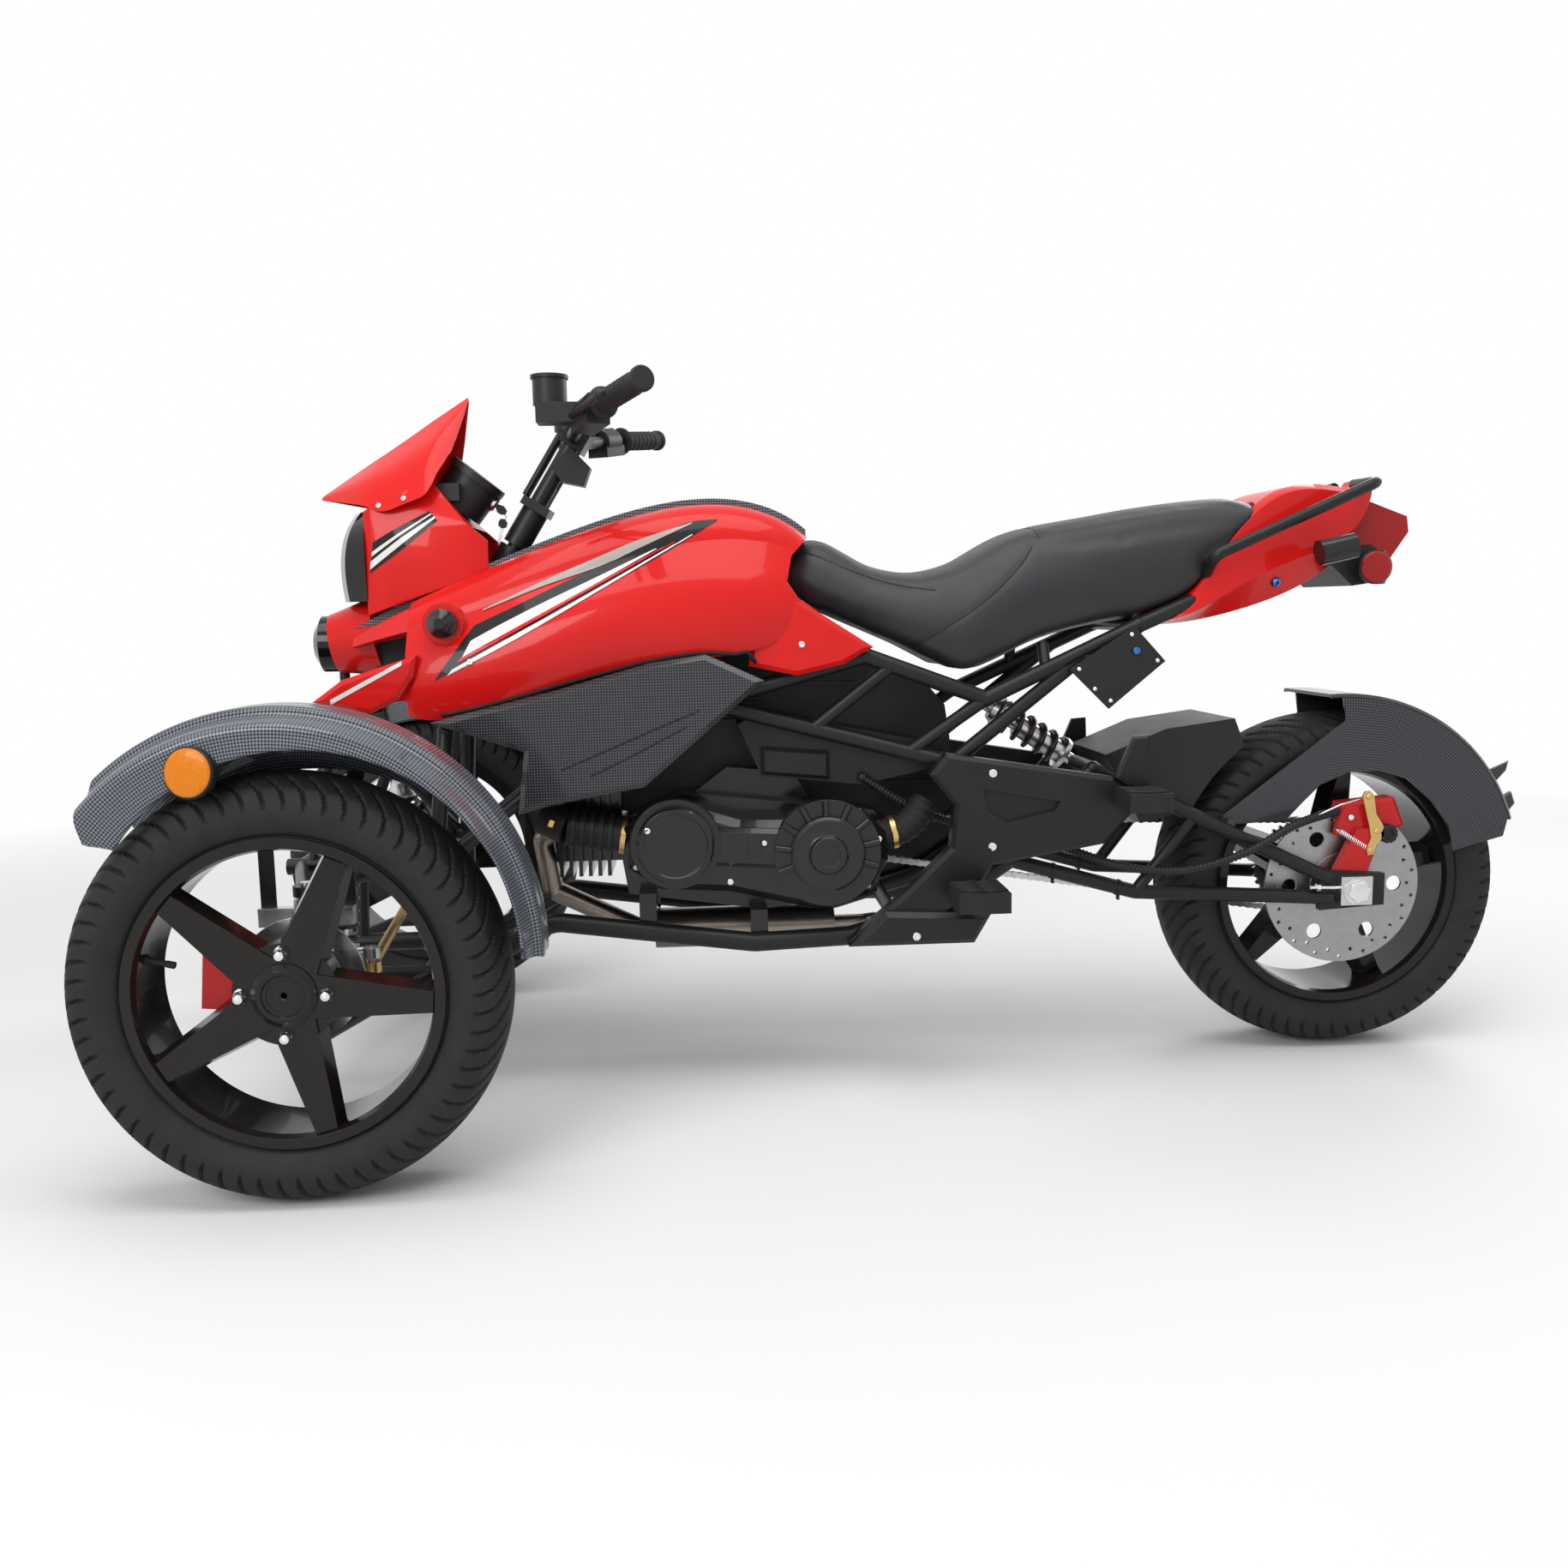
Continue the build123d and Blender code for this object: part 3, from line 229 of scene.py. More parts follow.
FINISHES = {name: make(name, *looks) for name, make, *looks in (
    ("red_paint", painted, (0.62, 0.008, 0.007)),
    ("frame_black", coated, (0.009, 0.009, 0.0095), 0.36),
    ("engine_black", coated, (0.008, 0.007, 0.0064), 0.2, 0.3),
    ("black_plastic", coated, (0.011, 0.011, 0.012), 0.42),
    ("steel", metal, (0.56, 0.56, 0.57), 0.3),
    ("gold", metal, (0.62, 0.42, 0.16), 0.34),
    ("shock_black", coated, (0.012, 0.012, 0.012), 0.34, 0.3),
    ("caliper_red", painted, (0.5, 0.012, 0.012), 0.0015),
    ("rim_black", coated, (0.009, 0.0072, 0.0062), 0.16, 0.2, 0.16),
    ("tyre", rubber, (0.011, 0.0115, 0.0125), 700),
    ("grip_rubber", rubber, (0.012, 0.012, 0.012), 900),
    ("leather", leather, (0.02, 0.021, 0.024)),
    ("dark_lens", lens, (0.004, 0.004, 0.0045)),
    ("red_lens", prism_lens, (0.45, 0.01, 0.008)),
    ("smoked_lens", lens, (0.012, 0.011, 0.012), 0.12),
)}
FINISHES["carbon"] = carbon_print("carbon_print", (0.011, 0.012, 0.014), (0.17, 0.187, 0.22))
AMBER = prism_lens("amber_lens", (0.9, 0.25, 0.002))
CHROME = metal("bright_steel", (0.75, 0.75, 0.76), 0.14)
BLUE_METAL = metal("blue_metal", (0.05, 0.22, 0.5), 0.2)
DISC_STEEL = metal("disc_steel", (0.33, 0.33, 0.34), 0.34)
PIPE_STEEL = metal("pipe_steel", (0.25, 0.215, 0.19), 0.3, 0.005)
DARK_CARBON = carbon_print("carbon_dark", (0.005, 0.005, 0.006), (0.062, 0.066, 0.075))
INK = {
    "black": painted("stripe_black", (0.012, 0.01, 0.011)),
    "white": painted("stripe_white", (0.75, 0.73, 0.72)),
    "silver": painted("stripe_silver", (0.42, 0.37, 0.34)),
    "red": FINISHES["red_paint"],
}

ROWS = {part["node"]: part for part in frame["record"]["subparts"]}
for node, row in ROWS.items():
    mesh = NODES[node].data
    mesh.materials.clear()
    mesh.materials.append(FINISHES[row["material_slot"]])
OWN_FINISH = {
    "side_panels": DARK_CARBON,
    "rear_fender": DARK_CARBON,
    "brake_disc_rear": DISC_STEEL,
    "exhaust": PIPE_STEEL,
    "tank_top": FINISHES["carbon"],
}
for node, finish in OWN_FINISH.items():
    NODES[node].data.materials[0] = finish


# Mesh helpers; edges that turn by more than the crease, in degrees, stay sharp
CREASE = 30
SKIN_CREASE = 34
SHELL_CREASE = 40
TYRE_CREASE = 38
LEFT = Vector((0, 1, 0))
UP = Vector((0, 0, 1))
SIDES = (("left", 1), ("right", -1))


def piece(name, bm, slot, body="chassis", material=None, edge=None, smooth=True):
    """A new piece on a body, in its slot's finish or one of its own, sharp past edge degrees."""
    mesh = bpy.data.meshes.new(name)
    bmesh.ops.recalc_face_normals(bm, faces=bm.faces)
    bm.to_mesh(mesh)
    bm.free()
    for poly in mesh.polygons:
        poly.use_smooth = smooth
    mesh.materials.append(material or FINISHES[slot])
    obj = bpy.data.objects.new(name, mesh)
    bpy.context.scene.collection.objects.link(obj)
    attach(obj, body)
    if edge:
        mesh.set_sharp_from_angle(angle=math.radians(edge))
    return obj


def rings_to_bmesh(bm, rings, closed=False):
    """Quads between rings of equally many points, from the last to the first or with both capped."""
    rows = [[bm.verts.new(p) for p in ring] for ring in rings]
    pairs = list(zip(rows, rows[1:]))
    if closed:
        pairs.append((rows[-1], rows[0]))
    for a, b in pairs:
        for i in range(len(a)):
            j = (i + 1) % len(a)
            bm.faces.new((a[i], a[j], b[j], b[i]))
    if not closed:
        bm.faces.new(reversed(rows[0]))
        bm.faces.new(rows[-1])


def axes_for(way):
    way = way.normalized()
    side = way.orthogonal().normalized()
    return side, way.cross(side), way


def lathe(bm, base, way, profile, sides=24):
    """A turned form: profile rows are (distance along way, radius), in metres."""
    u, v, w = axes_for(way)
    turns = [2 * math.pi * i / sides for i in range(sides)]
    spokes = [u * math.cos(turn) + v * math.sin(turn) for turn in turns]
    rings_to_bmesh(bm, [[base + w * along + out * r for out in spokes] for along, r in profile])


def socket_bolt(bm, base, way, r):
    """A button-head bolt with a hexagon socket."""
    u, v, w = axes_for(way)
    steps = 24
    rows = ((0, 1.0, False), (0.35, 1.0, False), (0.62, 0.86, False), (0.72, 0.62, False),
            (0.72, 0.5, True), (0.25, 0.5, True))
    rings = []
    for along, share, hexagon in rows:
        ring = []
        for i in range(steps):
            turn = 2 * math.pi * i / steps
            reach = share * r
            if hexagon:
                off = (turn + math.pi / 6) % (math.pi / 3) - math.pi / 6
                reach *= math.cos(math.pi / 6) / math.cos(off)
            ring.append(base + w * along * r + (u * math.cos(turn) + v * math.sin(turn)) * reach)
        rings.append(ring)
    rings_to_bmesh(bm, rings)


def tube_along(bm, points, r, sides):
    """A tube through points, its section carried along without twist; r is one radius or one a point."""
    radii = r if isinstance(r, list) else [r] * len(points)
    side = (points[1] - points[0]).orthogonal().normalized()
    last = len(points) - 1
    rings = []
    for i, p in enumerate(points):
        way = (points[min(i + 1, last)] - points[max(i - 1, 0)]).normalized()
        side = (side - way * side.dot(way)).normalized()
        up = way.cross(side)
        ring = []
        for k in range(sides):
            turn = 2 * math.pi * k / sides
            ring.append(p + (side * math.cos(turn) + up * math.sin(turn)) * radii[i])
        rings.append(ring)
    rings_to_bmesh(bm, rings)


def ribbed_tube(bm, path, r, rise, every, sides):
    """A tube whose wall swells by rise once in every few points of the path."""
    swell = [r + rise * max(0.0, math.sin(2 * math.pi * i / every)) for i in range(len(path))]
    tube_along(bm, path, swell, sides)


def coil(bm, start, end, radius, wire, turns):
    """A helical spring from start to end."""
    u, v, w = axes_for(end - start)
    count = int(turns * 24)
    points = []
    for i in range(count + 1):
        turn = 2 * math.pi * turns * i / count
        points.append(start.lerp(end, i / count) + (u * math.cos(turn) + v * math.sin(turn)) * radius)
    tube_along(bm, points, wire, 8)


def slab(bm, outline, y0, y1):
    """A flat piece: an outline of (aft, z) places between two y values, in mm."""
    rings_to_bmesh(bm, [[spot(aft, y, z) for aft, z in outline] for y in (y0, y1)])


def rib(bm, start, end, up, width, height):
    """A straight bar of rectangular section that stands on the line from start to end."""
    across = (end - start).cross(up).normalized() * width / 2
    lift = up * height
    rings_to_bmesh(bm, [[p - across, p + across, p + across + lift, p - across + lift] for p in (start, end)])


def curve(a, b, c, d, t):
    """A Catmull-Rom point at a share t of the way from b to c."""
    square = 2 * a - 5 * b + 4 * c - d
    cube = 3 * b - a - 3 * c + d
    return 0.5 * (2 * b + (c - a) * t + square * t * t + cube * t ** 3)


def smooth_path(points, steps):
    """Points on a smooth curve through a short list of places."""
    ends = [points[0] * 2 - points[1]] + list(points) + [points[-1] * 2 - points[-2]]
    path = []
    for a, b, c, d in zip(ends, ends[1:], ends[2:], ends[3:]):
        path += [curve(a, b, c, d, k / steps) for k in range(steps)]
    path.append(points[-1])
    return path


def stations(table, step):
    """Rows between the rows of a table, on smooth curves, about a step apart in the first column."""
    rows = [Vector(row) for row in table]
    made = []
    for a, b, c, d in zip([rows[0]] + rows, rows, rows[1:], rows[2:] + [rows[-1]]):
        count = max(1, int((c[0] - b[0]) / step))
        made += [list(curve(a, b, c, d, k / count)) for k in range(count)]
    made.append(list(rows[-1]))
    return made


def surface_of(node):
    """A tree to drop points onto the outside of a node, or of the piece that stands for it."""
    mesh = SKINS.get(node, NODES[node]).data
    verts = [v.co.copy() for v in mesh.vertices]
    return BVHTree.FromPolygons(verts, [list(p.vertices) for p in mesh.polygons])


# Moulded parts: the CAD forms with their facets shaded as one skin, and the print laid on them
PRINT_R = 0.33
SKINS = {}


def lay_print(bm, centre=None):
    """Lays uv in metres: round a wheel's centre, or flat as seen from the side or the top."""
    layer = bm.loops.layers.uv.new("weave")
    bm.normal_update()
    for face in bm.faces:
        for loop in face.loops:
            p = loop.vert.co
            if centre is None:
                loop[layer].uv = (p.x, p.y if abs(face.normal.z) > 0.7 else p.z)
                continue
            p = p - centre
            turn = (math.atan2(p.z, p.x) + math.pi / 2) % (2 * math.pi)
            across = math.hypot(p.x, p.z) if abs(face.normal.y) > 0.7 else p.y
            loop[layer].uv = (turn * PRINT_R, across)


def moulded(node, centre=None):
    """Stands a welded copy of a node's mesh in for it."""
    bm = bmesh.new()
    mesh = NODES[node].data
    verts = [bm.verts.new(v.co) for v in mesh.vertices]
    for poly in mesh.polygons:
        bm.faces.new([verts[i] for i in poly.vertices])
    bmesh.ops.remove_doubles(bm, verts=bm.verts, dist=1e-5)
    lay_print(bm, centre)
    slot = ROWS[node]["material_slot"]
    obj = piece(node + "_shell", bm, slot, material=mesh.materials[0], edge=SKIN_CREASE)
    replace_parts(obj, node)
    SKINS[node] = obj


for node in ("nose_cowl", "tail_cowl", "hugger", "side_panels", "tank_top"):
    moulded(node)
moulded("rear_fender", REAR_WHEEL)

# Visor: a ridged peak, lofted from its tip to its top, and the bosses that hold it
VISOR = (
    # aft, half width, edge z, ridge z
    (-60, 6, 1045, 1051), (20, 78, 1031, 1103), (63, 104, 1017, 1130), (106, 110, 1030, 1158),
    (142, 112, 1046, 1182), (158, 92, 1082, 1192), (178, 62, 1122, 1205), (202, 8, 1211, 1220),
)
VISOR_T = 5.0
VISOR_BEND = (0.62, 0.56)
VISOR_BOSSES = ((58, 1030, 92), (104, 1046, 100))
BOSS_ROOT = 60
BOSS_R = 0.006


def visor_ring(aft, w, low, high):
    """A bent section of even wall, thinner where the peak runs out."""
    rise = high - low
    t = min(VISOR_T, 0.3 * w, 0.3 * rise)
    y, z = VISOR_BEND[0] * w, low + VISOR_BEND[1] * rise
    outer = smooth_path([Vector((w, low)), Vector((y, z)), Vector((0, high))], 6)
    inner = smooth_path([Vector((w - t, low)), Vector((y - t, z - 0.7 * t)), Vector((0, high - 1.4 * t))], 6)
    ring = [spot(aft, p.x, p.y) for p in outer] + [spot(aft, -p.x, p.y) for p in reversed(outer[:-1])]
    return ring + [spot(aft, -p.x, p.y) for p in inner] + [spot(aft, p.x, p.y) for p in reversed(inner[:-1])]


bm = bmesh.new()
rings_to_bmesh(bm, [visor_ring(*row) for row in stations(VISOR, 8)])
for aft, z, y in VISOR_BOSSES:
    for sign in (1, -1):
        profile = ((0, BOSS_R), ((y - BOSS_ROOT) * MM, BOSS_R))
        lathe(bm, spot(aft, sign * BOSS_ROOT, z), LEFT * sign, profile, 16)
SKINS["visor"] = piece("visor_shell", bm, "red_paint", edge=SHELL_CREASE)
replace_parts(SKINS["visor"], "visor")

# Front fenders: a crowned shell with a rounded tip, and the stays that carry it
FENDER_RISE = 45.0
FENDER_CREST = 48.0
FENDER_TRIM_R = 300.0
FENDER_TRIM = (-40, 8)
FENDER_SKIN = (4.5, 3.5)
FENDER_DROP = 45.0
FENDER_STEPS = 72
TIP_ANGLES = (40.0, 36.5, 41.0, 44.5, 47.5, 48.5)
TAIL_ANGLES = (177.0, 178.5, 180.0, 180.5, 181.0, 181.0)
STAY = ((70, 72), (48, 72), (48, 200), (80, 352), (106, 345), (70, 195))
STAY_TAB = ((70, 352), (78, 326), (114, 318), (106, 346))
STAY_Y = (-96, -90, -80)


def fender_edge(turn):
    """Radius at which the side wall ends, from a trim circle that lies a little aft."""
    x, z = FENDER_TRIM
    shift = x * math.cos(turn) + z * math.sin(turn)
    return shift + math.sqrt(shift ** 2 + FENDER_TRIM_R ** 2 - x ** 2 - z ** 2)


def between(values, share):
    """A value at a share of the way through evenly spaced values."""
    place = share * (len(values) - 1)
    first = min(int(place), len(values) - 2)
    return values[first] + (values[first + 1] - values[first]) * (place - first)


def fender_side(crest, low):
    """Half section from the wall's edge to the middle of the crown, as (r, y)."""
    bend = crest - 22
    rows = ((low, 84), ((low + bend) / 2, 82), (bend, 78), (crest - 12, 47), (crest, 36), (crest, 0))
    return smooth_path([Vector((r, y, 0)) for r, y in rows], 4)


def fender(end, sign):
    """The crowned shell round the wheel, its inner wall deeper than its outer one, and two stays."""

    def place(r, y, turn):
        return centre + Vector((r * math.cos(turn), sign * y, r * math.sin(turn))) * MM

    tyre_node = "tyre_front_" + end
    wheel = middle(tyre_node)
    centre = wheel + Vector((0, 0, FENDER_RISE * MM))
    crest = (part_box(tyre_node)[1].z - wheel.z) / MM + FENDER_CREST
    rings = []
    for k in range(FENDER_STEPS + 1):
        share = k / FENDER_STEPS
        first, last = TIP_ANGLES[0], TAIL_ANGLES[0]
        low = fender_edge(math.radians(first + (last - first) * share))
        outer = fender_side(crest, low)
        inner = fender_side(crest, low - FENDER_DROP * math.sin(math.pi * share))
        rows = []
        for side, half in ((1, outer), (-1, inner)):
            for i, p in enumerate(half):
                across = i / (len(half) - 1)
                tip, tail = between(TIP_ANGLES, across), between(TAIL_ANGLES, across)
                rows.append((side, p.x, p.y, math.radians(tip + (tail - tip) * share)))
        count = len(outer)
        rows = rows[:count] + list(reversed(rows[count:-1]))
        ring = [place(r, side * y, turn) for side, r, y, turn in rows]
        for side, r, y, turn in reversed(rows):
            ring.append(place(r - FENDER_SKIN[0], side * max(0.0, y - FENDER_SKIN[1]), turn))
        rings.append(ring)
    bm = bmesh.new()
    rings_to_bmesh(bm, rings)
    lay_print(bm, centre)
    shell = piece("fender_shell_" + end, bm, "carbon", "knuckle_" + end, edge=SHELL_CREASE)
    bm = bmesh.new()
    for way in (1, -1):
        for outline, y0, y1 in ((STAY, STAY_Y[0], STAY_Y[1]), (STAY_TAB, STAY_Y[0], STAY_Y[2])):
            rings = []
            for y in (y0, y1):
                rings.append([wheel + Vector((way * x, sign * y, z)) * MM for x, z in outline])
            rings_to_bmesh(bm, rings)
    stay = piece("fender_stay_" + end, bm, "frame_black", "knuckle_" + end, edge=CREASE)
    for part in (shell, stay):
        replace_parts(part, "fender_front_" + end)


for end, sign in SIDES:
    fender(end, sign)

# Tyres with sipes cut into the shoulders
SEAT_R = 216.0
BEAD_TOP_R = 227.0
SIPE_DEPTH = 5.0
SIPE_FOOT = 50.0
SIPE_STEPS = 14


def arc_points(a, b, c, count):
    """Points on the circle through a, b and c, from a to c."""
    (ax, ay), (bx, by), (cx, cy) = a, b, c
    d = 2 * (ax * (by - cy) + bx * (cy - ay) + cx * (ay - by))
    aa, bb, cc = ax ** 2 + ay ** 2, bx ** 2 + by ** 2, cx ** 2 + cy ** 2
    ux = (aa * (by - cy) + bb * (cy - ay) + cc * (ay - by)) / d
    uy = (aa * (cx - bx) + bb * (ax - cx) + cc * (bx - ax)) / d
    start = math.atan2(ay - uy, ax - ux)
    sweep = (math.atan2(cy - uy, cx - ux) - start + math.pi) % (2 * math.pi) - math.pi
    r = math.hypot(ax - ux, ay - uy)
    return [(ux + r * math.cos(start + sweep * k / count), uy + r * math.sin(start + sweep * k / count))
            for k in range(count + 1)]


def inward(profile, i):
    """The way into the rubber at a point of the profile, as (r, y)."""
    r0, y0 = profile[max(i - 1, 0)]
    r1, y1 = profile[min(i + 1, len(profile) - 1)]
    run = math.hypot(r1 - r0, y1 - y0)
    return (y1 - y0) / run, (r0 - r1) / run


def tyre(name, node, body, bead_half, half, drop, sipes, slant, reach):
    """half: half width; drop: shoulder below the crown; reach: share of half where the sipes end."""
    crown = (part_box(node)[1].z - middle(node).z) / MM
    shoulder = (crown - drop, half - 10)
    wall = ((BEAD_TOP_R + crown) / 2 - 6, half)
    side = arc_points((BEAD_TOP_R, bead_half), wall, shoulder, 14)
    top = arc_points(shoulder, (crown, 0), (shoulder[0], -shoulder[1]), 30)
    other = [(r, -y) for r, y in reversed(side)]
    profile = [(SEAT_R, bead_half)] + side + top[1:] + other[1:] + [(SEAT_R, -bead_half)]
    ways = [inward(profile, i) for i in range(len(profile))]
    centre = middle(node)
    rings = []
    for i in range(SIPE_STEPS * sipes):
        turn = 2 * math.pi * i / (SIPE_STEPS * sipes)
        out = Vector((math.cos(turn), 0, math.sin(turn)))
        ring = []
        for (r, y), (in_r, in_y) in zip(profile, ways):
            share = abs(y) / half
            sign = 1 if y > 0 else -1
            phase = (i / SIPE_STEPS + slant * (1 - share) * sign + 0.25 * sign) % 1.0
            ends = max(0.0, min(1.0, (share - reach) / 0.1, (r - crown + SIPE_FOOT) / 8))
            sink = SIPE_DEPTH * ends * max(0.0, min(1.0, (0.11 - abs(phase - 0.5)) / 0.05))
            ring.append(centre + out * (r + in_r * sink) * MM + Vector((0, (y + in_y * sink) * MM, 0)))
        rings.append(ring)
    bm = bmesh.new()
    rings_to_bmesh(bm, rings, closed=True)
    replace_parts(piece(name, bm, "tyre", body, edge=TYRE_CREASE), node)


FRONT_TREAD = {"bead_half": 50, "half": 70, "drop": 18, "sipes": 62, "slant": 2.2, "reach": 0.3}
REAR_TREAD = {"bead_half": 70, "half": 90, "drop": 22, "sipes": 60, "slant": 2.6, "reach": 0.12}
for end, sign in SIDES:
    tyre("tyre_tread_front_" + end, "tyre_front_" + end, "wheel_front_" + end, **FRONT_TREAD)
tyre("tyre_tread_rear", "tyre_rear", "wheel_rear", **REAR_TREAD)

# Wheel trim: acorn nuts, a dished cap and a valve on each front wheel
NUT_RING = 60.0
CAP_FACE = 50.0
DISH = (
    (0, 0.046), (0.0065, 0.046), (0.009, 0.0425), (0.012, 0.0385), (0.013, 0.037), (0.013, 0.031),
    (0.009, 0.0285), (0.009, 0.006), (0.007, 0.004),
)
ACORN = (
    # start, sides, profile
    (0, 24, ((0, 0.0125), (0.001, 0.0125), (0.0035, 0.0115))),
    (0.0034, 6, ((0, 0.0105), (0.008, 0.0105), (0.010, 0.0092))),
    (0.013, 24, ((0, 0.0088), (0.003, 0.0086), (0.007, 0.0064), (0.0095, 0.0022))),
)
VALVE = (
    (0, 0.008), (0.003, 0.008), (0.006, 0.0055), (0.03, 0.0045),
    (0.031, 0.0052), (0.042, 0.0052), (0.043, 0.004),
)
VALVE_TURN = math.radians(14)
VALVE_SEAT = (0.207, 0.02)
for end, sign in SIDES:
    centre = middle("tyre_front_" + end)
    outward = LEFT * sign
    bm = bmesh.new()
    for k in range(4):
        turn = math.radians(k * 90)
        base = centre + Vector((math.cos(turn), 0, math.sin(turn))) * NUT_RING * MM + outward * CAP_FACE * MM
        for start, sides, profile in ACORN:
            lathe(bm, base + outward * start, outward, profile, sides)
    piece("wheel_nuts_" + end, bm, "steel", "wheel_front_" + end, material=CHROME, edge=CREASE)
    bm = bmesh.new()
    lathe(bm, centre + outward * CAP_FACE * MM, outward, DISH, 48)
    piece("hub_dish_" + end, bm, "rim_black", "wheel_front_" + end, edge=CREASE)
    bm = bmesh.new()
    away = Vector((math.cos(VALVE_TURN), 0, math.sin(VALVE_TURN)))
    lathe(bm, centre + away * VALVE_SEAT[0] + outward * VALVE_SEAT[1], -away, VALVE, 16)
    piece("valve_" + end, bm, "grip_rubber", "wheel_front_" + end, edge=CREASE)

# Round reflectors: amber on the front fenders, red on the tail bracket
LENS_DOME = ((0, 1.0), (0.002, 0.99), (0.0035, 0.85), (0.0045, 0.5), (0.0048, 0.1))
AMBER_PLACE = (-95, 625, 636)
AMBER_WAY = (0.2, 1, 0.1)
AMBER_RIM = ((0, 0.036), (0.012, 0.036), (0.0135, 0.034))
AMBER_R = 0.0335
RED_PLACE = (1795, 99, 894)
RED_RIM = ((0, 0.016), (0.024, 0.016), (0.026, 0.03), (0.032, 0.03), (0.033, 0.0285))
RED_R = 0.028
AMBER_LENS = 0.0132
RED_LENS = 0.0328
REFLECTOR_SINK = 0.004


def reflector(names, base, way, rim, seat, r, body, slot, material=None):
    """A turned rim and the domed lens that sits in it; names: of the rim and of the lens."""
    bm = bmesh.new()
    lathe(bm, base, way, rim, 48)
    piece(names[0], bm, "black_plastic", body, edge=CREASE)
    bm = bmesh.new()
    lathe(bm, base + way * seat, way, [(up, share * r) for up, share in LENS_DOME], 48)
    piece(names[1], bm, slot, body, material)


for end, sign in SIDES:
    aft, y, z = AMBER_PLACE
    way = Vector((AMBER_WAY[0], sign * AMBER_WAY[1], AMBER_WAY[2])).normalized()
    base = surface_of("fender_front_" + end).find_nearest(spot(aft, sign * y, z))[0] - way * REFLECTOR_SINK
    names = ("reflector_rim_" + end, "reflector_amber_" + end)
    reflector(names, base, way, AMBER_RIM, AMBER_LENS, AMBER_R, "knuckle_" + end, None, AMBER)
    aft, y, z = RED_PLACE
    names = ("reflector_seat_" + end, "reflector_red_" + end)
    reflector(names, spot(aft, sign * y, z), LEFT * sign, RED_RIM, RED_LENS, RED_R, "chassis", "red_lens")

# Seat: a crowned cushion lofted through stations, puffed as cloth, then seamed
SEAT = (
    # aft, bottom half width, side half width, top half width, bottom z, side z, top z
    (748, 92, 102, 76, 880, 906, 924), (766, 96, 110, 80, 864, 898, 946),
    (790, 100, 120, 84, 847, 888, 956), (820, 104, 124, 88, 836, 876, 953),
    (860, 110, 130, 94, 818, 860, 930), (904, 116, 138, 100, 799, 846, 906),
    (964, 126, 148, 108, 772, 822, 893), (1010, 130, 154, 112, 748, 808, 896),
    (1058, 132, 158, 116, 726, 800, 910), (1100, 134, 158, 118, 741, 830, 933),
    (1145, 136, 158, 120, 760, 856, 956), (1200, 136, 156, 122, 784, 874, 971),
    (1300, 136, 154, 122, 807, 894, 987), (1380, 132, 148, 118, 820, 908, 1000),
    (1460, 124, 138, 112, 854, 928, 1010), (1530, 114, 128, 104, 914, 960, 1016),
    (1592, 104, 116, 94, 980, 998, 1018),
)
SEAT_CROWN = 6
SEAT_VOXEL = 0.006
SWELL_CAP = 0.003
SWELL_FRAMES = 15
SEAM_WIDTH = 0.011
SEAM_DEPTH = 0.0028
WELT_R = 0.0011


def seat_ring(aft, wb, ws, wt, zb, zs, zt):
    """Half section from the bottom middle over the side to the top middle, then mirrored."""
    half = [(0, zb), (wb * 0.6, zb), (wb, zb + 3), ((wb + ws) / 2 + 3, (zb + zs) / 2), (ws, zs),
            (ws * 0.6 + wt * 0.4 + 3, zs * 0.55 + zt * 0.45), (wt + 4, zt - 14), (wt * 0.8, zt - 3),
            (wt * 0.4, zt + SEAT_CROWN * 0.6), (0, zt + SEAT_CROWN)]
    points = smooth_path([Vector((y, z, 0)) for y, z in half], 3)
    return [spot(aft, p.x, p.y) for p in points] + [spot(aft, -p.x, p.y) for p in reversed(points[1:-1])]


def puff(obj):
    """Swells the piece a little as a cloth under pressure; no point moves further than the cap."""
    remesh = obj.modifiers.new("even_mesh", "REMESH")
    remesh.voxel_size = SEAT_VOXEL
    bpy.context.view_layer.update()
    evaluated = obj.evaluated_get(bpy.context.evaluated_depsgraph_get())
    obj.data = bpy.data.meshes.new_from_object(evaluated)
    obj.modifiers.clear()
    before = [v.co.copy() for v in obj.data.vertices]
    cloth = obj.modifiers.new("cloth", "CLOTH")
    cloth.settings.use_pressure = True
    cloth.settings.uniform_pressure_force = 4
    cloth.settings.effector_weights.gravity = 0
    for number in range(1, SWELL_FRAMES + 1):
        bpy.context.scene.frame_set(number)
    evaluated = obj.evaluated_get(bpy.context.evaluated_depsgraph_get())
    after = [v.co.copy() for v in evaluated.data.vertices]
    obj.modifiers.clear()
    bpy.context.scene.frame_set(1)
    for v, old, new in zip(obj.data.vertices, before, after):
        move = new - old
        if move.length > SWELL_CAP:
            move = move.normalized() * SWELL_CAP
        v.co = old + move
    smooth = obj.modifiers.new("soften", "SMOOTH")
    smooth.factor = 0.5
    smooth.iterations = 8
    evaluated = obj.evaluated_get(bpy.context.evaluated_depsgraph_get())
    obj.data = bpy.data.meshes.new_from_object(evaluated)
    obj.modifiers.clear()
    for poly in obj.data.polygons:
        poly.use_smooth = True


bm = bmesh.new()
rings_to_bmesh(bm, [seat_ring(*row) for row in stations(SEAT, 12)])
cushion = piece("seat_cushion", bm, "leather")
puff(cushion)


